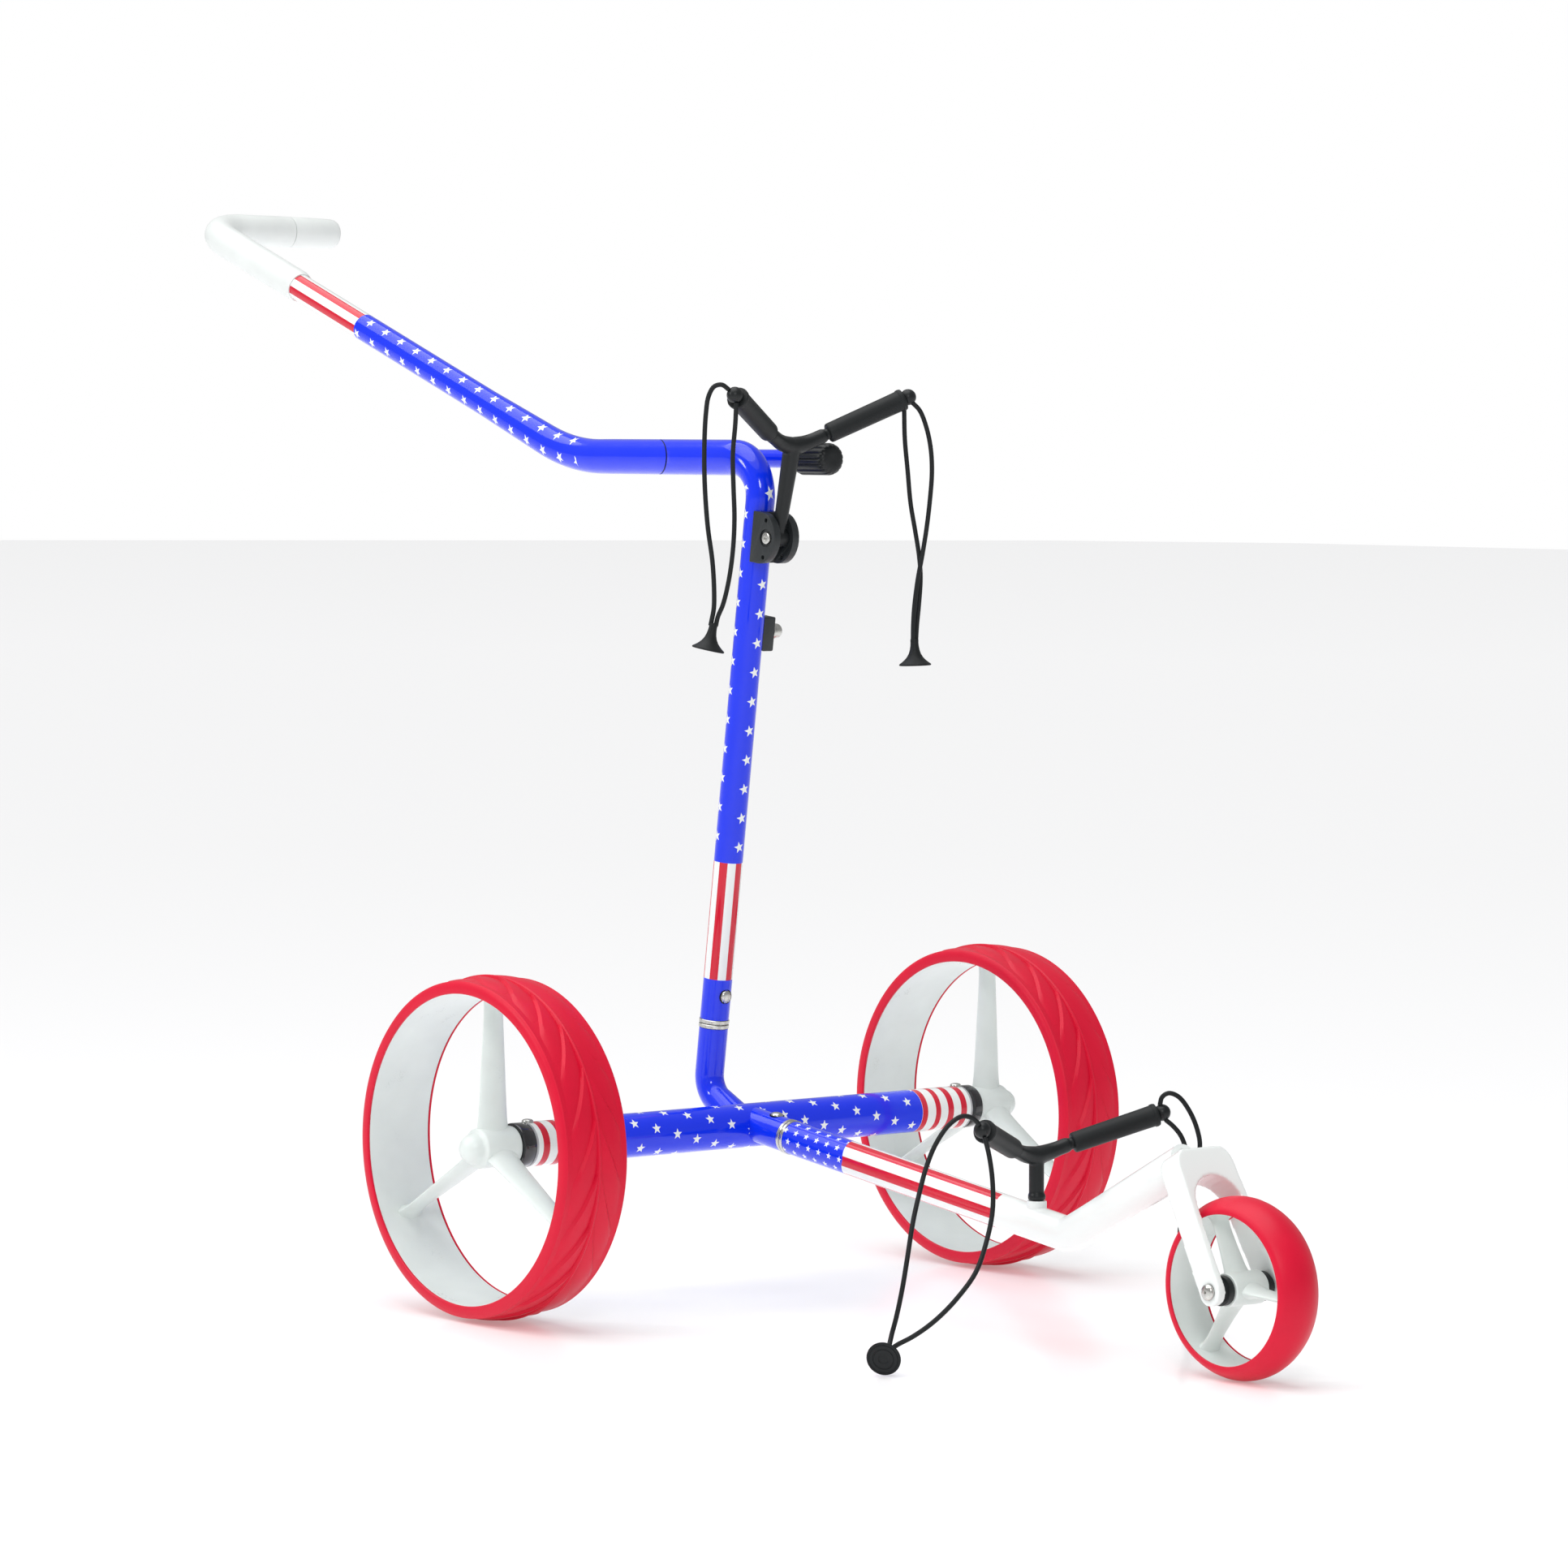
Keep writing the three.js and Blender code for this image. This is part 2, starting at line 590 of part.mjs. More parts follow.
add("arm_plug", plugTube(onArm, -37, armPlugRadius, joinRing.split / 2, arm.radius, armButton,
  upUnit), "steel");
add("arm_collar", collar(onArm, -ringHalf, arm.radius, armPlugRadius + fit), "steel");
add("arm_snap_button", snapButton(armButton, upUnit, arm.radius), "steel");

// ---- upright: one tube, bent back at the top and growing into the thicker level run

// Everything on the handle's side of the slanted joint, moved along the tube by `shift`.
function beyondSeam(shift) {
  const far = 400;
  const y = level.seamY + shift;
  const lean = level.seamSlant * 60;
  const shape = new THREE.Shape([[-60, y - lean], [60, y + lean], [60, y + far], [-60, y + far]]
    .map((p) => new THREE.Vector2(...p)));
  const slab = new THREE.ExtrudeGeometry(shape, { depth: 120, bevelEnabled: false });
  return solid(slab.translate(0, 0, upright.topZ - 60));
}

const topCorner = [0, uprightAxisY(upright.topZ), upright.topZ];
const seamLimit = level.seamY + level.seamSlant * level.radius + 2;
const levelBore = level.radius - level.wall;
const uprightGrowth = (bendSteps) => (place) => {
  const bendPlace = (place * (bendSteps + 2) - 1) / bendSteps;
  const growth = Math.min(Math.max(bendPlace, 0), 1);
  return upright.radius + (level.radius - upright.radius) * growth;
};
const uprightPath = (from, past) => new TubePath(
  [from, topCorner, [0, seamLimit + past, upright.topZ]], [upright.bend]);
const grows = uprightGrowth(6);
const shrinks = (place) => grows(place) - upright.wall;

add("upright_tube", cut(
  swept(uprightPath(onUpright(ringHalf + fit), 0), grows),
  swept(uprightPath(onUpright(0), 1), shrinks),
  beyondSeam(-gasket.width / 2 - fit),
  buttonHole(uprightButton, forwardUnit, 30),
), "blue");

const seamTube = (outer, inner) => ringSolid([0, level.seamY - 50, upright.topZ],
  [0, level.seamY + 50, upright.topZ], outer, inner);
add("handle_gasket", cut(seamTube(level.radius, levelBore).intersect(beyondSeam(-gasket.width / 2)),
  beyondSeam(gasket.width / 2)), "blackRubber");

// ---- handle: thick where it plugs into the upright, then a straight run up to the sideways grip

const handleStart = [0, level.seamY - level.seamSlant * level.radius - 2, upright.topZ];
const handleKnee = [0, handle.kneeY, upright.topZ];
const gripCorner = [0, handle.kneeY + (grip.height - upright.topZ) / handle.slope, grip.height];
const gripStart = [0, grip.startY, upright.topZ + (grip.startY - handle.kneeY) * handle.slope];
const handlePath = (past) => new TubePath([
  [0, handleStart[1] - past, upright.topZ], handleKnee, gripCorner,
  [grip.reach - 6 + past, gripCorner[1], grip.height],
], [handle.kneeBend, grip.bend]);
const kneeEnd = 7 / 14; // the knee's steps come first, then the grip's corner
const handleGrows = (place) => {
  const thinned = Math.min(Math.max((place - 1 / 14) / ((kneeEnd - 1 / 14) * handle.thinBy), 0), 1);
  return level.radius + (handle.radius - level.radius) * thinned;
};
const handleBore = (place) => handleGrows(place) - handle.wall;

add("handle_tube", swept(handlePath(0), handleGrows).subtract(swept(handlePath(1), handleBore))
  .intersect(beyondSeam(gasket.width / 2 + fit).add(block([-30, 300, 700], [200, 900, 1000]))), "blue");
add("handle_plug", ringSolid([0, level.seamY - gasket.plugReach, upright.topZ],
  [0, level.seamY + gasket.plugReach, upright.topZ], levelBore - fit, levelBore - fit - plug.wall),
"steel");

const gripBore = handle.radius + fit;
add("grip_sleeve", pipe([gripStart, gripCorner, [grip.capFrom, gripCorner[1], grip.height]],
  [grip.bend], grip.radius, grip.radius - gripBore), "white");
const capLength = grip.reach - grip.capFrom - fit;
add("grip_cap", turned([
  [0, capLength - 4], [gripBore, capLength - 4], [gripBore, 0], [grip.radius, 0],
  ...arc(grip.radius - grip.capTaper - grip.round, capLength - grip.round, grip.round, 0, 90, 4),
  [0, capLength],
], [grip.capFrom + fit, gripCorner[1], grip.height], [1, 0, 0]), "white");

// ---- clamp arm and its fluted hand knob, on the far side of the level run

const clampStart = [levelBore + 4, clampArm.fromY, clampArm.z];
const clampCorner = [clampArm.x, clampArm.fromY, clampArm.z];
const clampEnd = [clampArm.x, clampArm.toY, clampArm.z];
const clampSolid = cut(
  swept(new TubePath([clampStart, clampCorner, clampEnd], [clampArm.bend]), clampArm.radius, 12),
  rod([clampArm.x, clampArm.toY + 30, clampArm.z], [clampArm.x, clampArm.toY - 1, clampArm.z],
    clampArm.bore, 12),
  rod([0, clampArm.fromY - 30, upright.topZ], [0, clampArm.fromY + 30, upright.topZ],
    level.radius + fit, 20),
);
add("clamp_arm", clampSolid, "blue");

const knobLength = clampArm.toY - fit - knob.toY;
const flutes = Array.from({ length: knob.flutes }, (_, i) => {
  const turn = (2 * Math.PI * i) / knob.flutes;
  const x = clampArm.x + (knob.radius + 0.7) * Math.cos(turn);
  const z = clampArm.z + (knob.radius + 0.7) * Math.sin(turn);
  return rod([x, clampArm.toY - knob.chamfer - 2, z], [x, knob.toY + 4, z], knob.fluteRadius, 6);
});
add("clamp_knob", cut(union(
  turned([
    [0, 0], [knob.neck, 0], [knob.radius, knob.chamfer], [knob.radius, knobLength - 3],
    [knob.radius - 3, knobLength], [0, knobLength],
  ], [clampArm.x, clampArm.toY - fit, clampArm.z], [0, -1, 0], 24),
  rod([clampArm.x, clampArm.toY + 24, clampArm.z], [clampArm.x, clampArm.toY - 4, clampArm.z], knob.stem, 12),
), ...flutes), "black");

// ---- bag yokes: a stem, two arms with thick sleeves on them, and a ball at each tip

const mirrored = ([x, y, z], sign) => [sign * x, y, z];

function yokeArm(shape, sign) {
  const shoulder = mirrored(shape.shoulder, sign);
  const tip = mirrored(shape.tip, sign);
  const bend = smooth([shape.crotch, mirrored(shape.saddle, sign), shoulder], yoke.arm, 12, 4);
  return union(bend, rod(shoulder, tip, yoke.pin, 10), ball(shoulder, yoke.arm), ball(tip, yoke.ball));
}

function sleeve(shape, sign) {
  const shoulder = vector(mirrored(shape.shoulder, sign));
  const tip = vector(mirrored(shape.tip, sign));
  const along = tip.clone().sub(shoulder).normalize();
  const from = shoulder.clone().addScaledVector(along, yoke.arm + fit);
  const length = tip.distanceTo(from) - yoke.sleeveEnd;
  const bore = yoke.pin + fit;
  return turned([
    [bore, 0], [yoke.sleeve - 1, 0], [yoke.sleeve, 1], [yoke.sleeve, length - 2],
    [yoke.sleeve - 2, length], [bore, length],
  ], from.toArray(), along.toArray(), 16);
}

const pivot = [0, uprightAxisY(clevis.pivotZ) - clevis.back - clevis.pivotAhead, clevis.pivotZ];
const upperStem = rod([0, pivot[1], pivot[2]], upperYoke.crotch, yoke.stem, 12);
add("upper_yoke", cut(
  union(upperStem, yokeArm(upperYoke, -1), yokeArm(upperYoke, 1)),
  rod([-20, pivot[1], pivot[2]], [20, pivot[1], pivot[2]], barrel.radius + fit),
), "black");
const barrelHalf = clevis.slotHalf - fit;
add("upper_yoke_barrel", ringSolid([-barrelHalf, pivot[1], pivot[2]], [barrelHalf, pivot[1], pivot[2]],
  barrel.radius, barrel.bore, 16), "steel");
for (const [side, sign] of sides) {
  add(`upper_sleeve_${side}`, sleeve(upperYoke, sign), "blackRubber");
}

const boreInArm = socket.bore - fit;
const lowerStemFoot = [0, lowerYoke.foot[1], lowerYoke.foot[2] - lowerYoke.plugDepth];
add("lower_yoke", union(
  rod(lowerYoke.foot, lowerYoke.crotch, yoke.stem, 12),
  rod(lowerYoke.foot, [0, lowerYoke.foot[1], lowerYoke.foot[2] + 3], yoke.stem + 1.2),
  rod(lowerStemFoot, [0, lowerYoke.foot[1], lowerYoke.foot[2] + 1], boreInArm),
  yokeArm(lowerYoke, -1), yokeArm(lowerYoke, 1),
), "black");
for (const [side, sign] of sides) {
  add(`lower_sleeve_${side}`, sleeve(lowerYoke, sign), "blackRubber");
}

// ---- clevis on the front of the upright: two D-shaped cheeks with detent notches

// A place given by its distance in front of the upright's axis and its rise along that axis.
function atUpright(ahead, rise, z0) {
  const base = vector([0, uprightAxisY(z0), z0]);
  base.addScaledVector(vector(forwardUnit), ahead).addScaledVector(uprightDirection, rise);
  return [base.y, base.z];
}
const half = clevis.height / 2;
const cheek = [[0, -half], [0, half], ...new THREE.CubicBezierCurve(
  new THREE.Vector2(12, half), new THREE.Vector2(22, half - 1),
  new THREE.Vector2(clevis.depth, half * 0.55), new THREE.Vector2(clevis.depth, 0),
).getPoints(8).map((p) => [p.x, p.y]), ...new THREE.CubicBezierCurve(
  new THREE.Vector2(clevis.depth, 0), new THREE.Vector2(clevis.depth, -half * 0.55),
  new THREE.Vector2(22, -half + 1), new THREE.Vector2(12, -half),
).getPoints(8).slice(1).map((p) => [p.x, p.y])];
const clevisOutline = cheek.map(([f, h]) => atUpright(clevis.back + f, h, clevis.z));
const slotOutline = [[clevis.slotFrom, -half - 5], [clevis.slotFrom, half + 5],
  [clevis.depth + 20, half + 5], [clevis.depth + 20, -half - 5]]
  .map(([f, h]) => atUpright(clevis.back + f, h, clevis.z));
const notches = [[17, 16], [17, -16]].map(([f, h]) => {
  const [y, z] = atUpright(clevis.back + f, h, clevis.z);
  return rod([-clevis.halfWidth - 1, y, z], [clevis.halfWidth + 1, y, z], 2, 8);
});
const tubeClear = rod(onUpright(380), onUpright(480), upright.radius + fit);
const recess = boltHead.recess;
add("clevis_block", cut(
  sideProfile(clevisOutline, clevis.halfWidth),
  sideProfile(slotOutline, clevis.slotHalf),
  tubeClear,
  ...notches,
  rod([-20, pivot[1], pivot[2]], [20, pivot[1], pivot[2]], barrel.bore, 12),
  rod([-clevis.halfWidth - 1, pivot[1], pivot[2]],
    [-clevis.halfWidth + recess, pivot[1], pivot[2]], boltHead.radius + fit),
  rod([clevis.halfWidth + 1, pivot[1], pivot[2]],
    [clevis.halfWidth - recess, pivot[1], pivot[2]], boltHead.radius + fit),
), "black");

const headFrom = clevis.halfWidth - recess + fit;
const boltHeadAt = (sign) => turned([
  [0, 0], [boltHead.radius, 0], [boltHead.radius, boltHead.height - 1.2],
  [boltHead.radius - 1.6, boltHead.height], [0, boltHead.height],
], [sign * headFrom, pivot[1], pivot[2]], [sign, 0, 0], 16);
add("pivot_bolt", union(
  rod([-headFrom - 1, pivot[1], pivot[2]], [headFrom + 1, pivot[1], pivot[2]], barrel.bore - fit, 12),
  boltHeadAt(-1),
  boltHeadAt(1),
), "steel");

// ---- catch: a saddle block on the left side of the upright, with a round stud on its end

const catchTube = rod(onUpright(300), onUpright(400), upright.radius + fit);
const catchHalf = catchBlock.height / 2;
const catchOutline = [[catchBlock.halfDepth, catchHalf], [-catchBlock.halfDepth, catchHalf],
  [-catchBlock.halfDepth, -catchHalf], [catchBlock.halfDepth, -catchHalf]]
  .map(([f, h]) => atUpright(f, h, catchBlock.z));
const catchMiddle = (catchBlock.from + catchBlock.to) / 2;
add("catch_block", cut(
  sideProfile(catchOutline, (catchBlock.to - catchBlock.from) / 2).translate([catchMiddle, 0, 0]),
  catchTube,
), "black");
add("catch_stud", turned([
  [0, 0], [catchStud.radius, 0], [catchStud.radius, catchStud.flange],
  [catchStud.radius * 0.86, catchStud.height - 2.6], [catchStud.radius * 0.6, catchStud.height - 0.9],
  [catchStud.radius * 0.3, catchStud.height - 0.2], [0, catchStud.height],
], [catchBlock.to + fit, uprightAxisY(catchStud.z), catchStud.z], [1, 0, 0], 16), "steel");

// ---- front arm: one tube down to a knee and up into the crown of the fork

const armKnee = [0, -arm.kneeY, arm.startZ - arm.fall * arm.kneeY];
const armEnd = [0, -(wheelbase - arm.endBehind), arm.endZ];
const armTube = swept(new TubePath([onArm(ringHalf + fit), armKnee, armEnd], [arm.bend]), arm.radius, 20);

const axleAt = vector([0, -wheelbase, front.radius]);
const lean = THREE.MathUtils.degToRad(fork.lean);
const legUp = vector([0, Math.sin(lean), Math.cos(lean)]);
const legAhead = vector([0, -Math.cos(lean), Math.sin(lean)]);
const onFork = (u, t) => {
  const p = axleAt.clone().addScaledVector(legUp, u).addScaledVector(legAhead, t);
  return [p.y, p.z];
};
const legHalf = fork.legWidth / 2;
const topAt = (t) => (fork.topZ - axleAt.z - legAhead.z * t) / legUp.z; // leg length to the level top
const sideOutline = [
  ...arc(0, 0, legHalf, 180, 360, 8).map(([t, u]) => onFork(u, t)),
  onFork(topAt(legHalf), legHalf),
  onFork(topAt(-legHalf), -legHalf),
];
// The fork seen along the legs: u is the distance up from the front axle.
const flare = (u) => fork.footHalf - ((fork.footHalf - fork.crownHalf) * u) / 105;
const archEnd = -20;
const topU = topAt(-legHalf) + 4;
const crownTop = topAt(legHalf) + 1.5;
const r = fork.topRound;
const frontOutline = [
  [flare(archEnd), archEnd], [flare(crownTop - r), crownTop - r],
  ...arc(flare(crownTop) - r, crownTop - r, r, 20, 70, 5), [flare(crownTop) - r, crownTop],
  [-(flare(crownTop) - r), crownTop], ...arc(-(flare(crownTop) - r), crownTop - r, r, 110, 160, 5),
  [-flare(crownTop - r), crownTop - r], [-flare(archEnd), archEnd], [-fork.legInner, archEnd],
  [-fork.legInner, 20], ...arc(0, fork.archCentre, fork.archRadius, 180, 0, 10),
  [fork.legInner, 20], [fork.legInner, archEnd],
];
const forkDepth = 2 * legHalf + 30;
const frontShape = new THREE.Shape(frontOutline.map(([x, u]) => new THREE.Vector2(x, u)));
const forkSlab = new THREE.ExtrudeGeometry(frontShape, { depth: forkDepth, bevelEnabled: false });
forkSlab.translate(0, 0, -forkDepth / 2);
const forkBasis = new THREE.Matrix4().makeBasis(vector([1, 0, 0]), legUp, legAhead);
forkSlab.applyMatrix4(forkBasis.setPosition(axleAt));
const forkBody = solid(forkSlab).intersect(sideProfile(sideOutline, 60));
const axleLine = (from, to, radius, count = 16) =>
  rod([from, -wheelbase, front.radius], [to, -wheelbase, front.radius], radius, count);
const bossFoot = [0, -socket.y, 96];
const wheelRoom = rod([-24, -wheelbase, front.radius], [24, -wheelbase, front.radius], front.radius + 4, 36);

add("front_arm", cut(
  union(cut(union(armTube, forkBody), wheelRoom), rod(bossFoot, [0, -socket.y, socket.top], socket.radius)),
  rod(onArm(0), onArm(plug.length), arm.radius - arm.wall, 20),
  rod([0, -socket.y, lowerStemFoot[2] - 1], [0, -socket.y, socket.top + 1], socket.bore),
  axleLine(-50, 50, frontAxle.radius + fit),
), "white");

// ---- front wheel on its axle, with spacers and a pan-head screw in each end

function frontRim() {
  const hub = rod([-front.hubHalfWidth, 0, 0], [front.hubHalfWidth, 0, 0], front.hubRadius, 20);
  const bore = rod([-30, 0, 0], [30, 0, 0], front.bearingRadius + fit, 20);
  const [one, two, three] = spokes(front, 7, front.rimBore + front.dish + 0.2);
  return cut(union(drum(front, rimHalfOf(front), 36), hub, one, two, three), bore);
}

const frontPlace = [0, -wheelbase, front.radius];
add("front_rim", frontRim(), "white", frontPlace);
add("front_tyre", tyre(front, 36, frontCrown), "red", frontPlace);
add("front_bearing", bearing(-front.hubHalfWidth, front.hubHalfWidth, front.bearingRadius,
  frontAxle.radius + fit), "steel", frontPlace);
for (const [side, sign] of sides) {
  const span = [sign * spacer.inner, sign * spacer.outer].sort((a, b) => a - b);
  add(`front_spacer_${side}`, ringSolid([span[0], -wheelbase, front.radius],
    [span[1], -wheelbase, front.radius], spacer.radius, frontAxle.radius + fit), "black");
  const face = fork.footHalf + 0.6;
  add(`axle_screw_${side}`, union(
    axleLine(sign * (face - frontAxle.screwDepth), sign * (face + 1), frontAxle.threadRadius, 10),
    turned([[0, 0], [screwHead.radius, 0], [screwHead.radius, 1.2],
      [screwHead.radius * 0.8, screwHead.height - 0.8], [screwHead.radius * 0.4, screwHead.height - 0.1],
      [0, screwHead.height]], [sign * face, -wheelbase, front.radius], [sign, 0, 0], 14),
  ), "steel");
}
const axleHalf = fork.footHalf - 0.5;
const threadBore = (sign) => axleLine(sign * (axleHalf - frontAxle.screwDepth - 1), sign * (axleHalf + 1),
  frontAxle.threadRadius + fit, 10);
add("front_axle", cut(axleLine(-axleHalf, axleHalf, frontAxle.radius), threadBore(-1), threadBore(1)),
  "darkSteel");

// ---- elastic loops: two strands from each ball down to a rubber cone

function strand(points) {
  const curve = new THREE.CatmullRomCurve3(points.map(vector));
  const steps = Math.round(curve.getLength() / cord.step);
  return swept(curve, cord.radius, cord.sides, steps);
}

function rubberCone(apex, axis) {
  const { height, base, top } = cone;
  return turned([
    [0, 0], [top, 0], [top + 0.8, height * 0.3], [base * 0.52, height * 0.66], [base - 1, height - 2.2],
    [base, height - 0.8], [base - 0.8, height], [0, height],
  ], apex, axis, 16);
}

const cordNodes = new Set();
for (const [where, route] of Object.entries(cordRoutes)) {
  for (const which of ["outer", "inner"]) {
    const name = `cord_${where}_${which}`;
    add(name, strand(route[which]), "blackRubber");
    cordNodes.add(name);
  }
  add(`cone_${where}`, rubberCone(route.cone, route.axis), "blackRubber");
  cordNodes.add(`cone_${where}`);
}

// ---- the origin: bottom centre of the box round everything but the cords and cones

const box = new THREE.Box3();
for (const mesh of trolley.children) {
  mesh.updateMatrixWorld(true);
  if (!cordNodes.has(mesh.name)) box.expandByObject(mesh, true);
}
trolley.position.y = -(box.min.y + box.max.y) / 2;

export default trolley;
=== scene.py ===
import math

import bmesh
import bpy
from mathutils import Matrix, Quaternion, Vector


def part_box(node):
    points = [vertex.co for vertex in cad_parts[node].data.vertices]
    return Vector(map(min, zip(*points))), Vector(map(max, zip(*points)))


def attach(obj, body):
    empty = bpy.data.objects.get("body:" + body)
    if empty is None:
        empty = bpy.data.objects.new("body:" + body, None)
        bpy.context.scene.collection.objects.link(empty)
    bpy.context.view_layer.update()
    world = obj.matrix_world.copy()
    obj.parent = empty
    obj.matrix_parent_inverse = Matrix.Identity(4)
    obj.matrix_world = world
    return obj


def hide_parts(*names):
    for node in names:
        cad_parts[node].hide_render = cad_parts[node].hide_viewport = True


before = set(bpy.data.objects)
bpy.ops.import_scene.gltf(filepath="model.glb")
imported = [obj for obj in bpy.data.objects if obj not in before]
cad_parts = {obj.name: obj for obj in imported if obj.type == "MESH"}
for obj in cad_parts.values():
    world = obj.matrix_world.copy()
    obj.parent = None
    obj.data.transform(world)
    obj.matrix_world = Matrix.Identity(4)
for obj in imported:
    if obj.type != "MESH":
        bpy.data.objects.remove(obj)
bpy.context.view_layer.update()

# ------------------------------------------------------------------ camera
# The trolley is seen from its own right, a little ahead of it and just above its
# axle, through a long lens.
turn, rise, roll = math.radians(-40.55), math.radians(3.171), math.radians(0.627)
back = Vector((math.sin(turn) * math.cos(rise), -math.cos(turn) * math.cos(rise), math.sin(rise)))
flat_right = Vector((math.cos(turn), math.sin(turn), 0))
flat_up = back.cross(flat_right)
right = flat_right * math.cos(roll) + flat_up * math.sin(roll)
up = flat_up * math.cos(roll) - flat_right * math.sin(roll)
lens = bpy.data.cameras.new("camera")
lens.lens, lens.sensor_width = 130.1, 36
lens.clip_end = 60
camera = bpy.data.objects.new("camera", lens)
camera.matrix_world = Matrix.Translation((-3.1642, -3.8263, 0.7136)) @ Matrix(
    (right, up, back)).transposed().to_4x4()
bpy.context.scene.collection.objects.link(camera)
bpy.context.scene.camera = camera

# ------------------------------------------------------------------ elastic cords
# Each bag rest has two loops of 4 mm elastic cord with a braided sleeve. Both strands
# of a loop come out of the ball on the rest's tip and end in one rubber cone.

# Sizes are in millimetres, laid out from the point on the floor under the main axle.
axle_low, axle_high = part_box("axle_shaft_right")
axle_y = (axle_low.y + axle_high.y) / 2


def place(point):
    """A point of the layout, as metres in the model's own frame."""
    x, y, z = point
    return Vector((x / 1000, y / 1000 + axle_y, z / 1000))


class Wire:
    """One output of a finish's nodes. Arithmetic on wires adds Math nodes."""

    def __init__(self, finish, socket):
        self.finish, self.socket = finish, socket

    def __add__(self, other):
        return self.finish.maths("ADD", self, other)

    def __mul__(self, other):
        return self.finish.maths("MULTIPLY", self, other)

    __radd__, __rmul__ = __add__, __mul__

    def __sub__(self, other):
        return self.finish.maths("SUBTRACT", self, other)

    def __rsub__(self, other):
        return self.finish.maths("SUBTRACT", other, self)

    def __gt__(self, other):
        return self.finish.maths("GREATER_THAN", self, other)

    def __lt__(self, other):
        return self.finish.maths("LESS_THAN", self, other)

    def between(self, low, high):
        return (self > low) * (self < high)


class Finish:
    """A material with a Principled shader, and the one way in which its nodes are made."""

    def __init__(self, name, **steady):
        self.material = bpy.data.materials.new(name)
        self.material.use_nodes = True
        self.tree = self.material.node_tree
        self.shader = self.tree.nodes["Principled BSDF"]
        for socket, value in steady.items():
            self.shader.inputs[socket.replace("_", " ")].default_value = value
        self.place = self.node("ShaderNodeTexCoord", out="Object")

    def node(self, kind, settings=None, sockets=None, out=0):
        made = self.tree.nodes.new(kind)
        for key, value in (settings or {}).items():
            setattr(made, key, value)
        for key, value in (sockets or {}).items():
            if isinstance(value, Wire):
                self.tree.links.new(value.socket, made.inputs[key])
            else:
                made.inputs[key].default_value = value
        return Wire(self, made.outputs[out])

    def maths(self, operation, *values, clamped=False):
        return self.node("ShaderNodeMath", {"operation": operation, "use_clamp": clamped},
                         dict(enumerate(values)))

    def mix(self, share, a, b):
        return self.node("ShaderNodeMix", {"data_type": "RGBA"}, {0: share, 6: a, 7: b}, out=2)

    def noise(self, scale, detail=2.0):
        return self.node("ShaderNodeTexNoise", {}, {
            "Vector": self.place, "Scale": scale, "Detail": detail})

    def feed(self, socket, wire):
        self.tree.links.new(wire.socket, self.shader.inputs[socket])

    def bump(self, height, strength, distance):
        self.feed("Normal", self.node("ShaderNodeBump", {}, {
            "Height": height, "Strength": strength, "Distance": distance}))


def moulded(name, colour, roughness, grain, depth, **steady):
    """Plastic or rubber: a slightly clouded colour and a fine grain over the surface."""
    finish = Finish(name, **steady)
    cloud = finish.noise(35.0, 3.0)
    darker = tuple(c * 0.86 for c in colour[:3]) + (1,)
    finish.feed("Base Color", finish.mix(cloud, darker, colour))
    fine = finish.noise(grain, 3.0)
    finish.feed("Roughness", cloud * 0.12 + fine * 0.06 + (roughness - 0.09))
    finish.bump(fine, 0.35, depth)
    return finish


black_rubber = moulded("black_rubber", (0.009, 0.011, 0.012, 1), 0.52, 900.0, 0.00008,
                       Specular_IOR_Level=0.25)

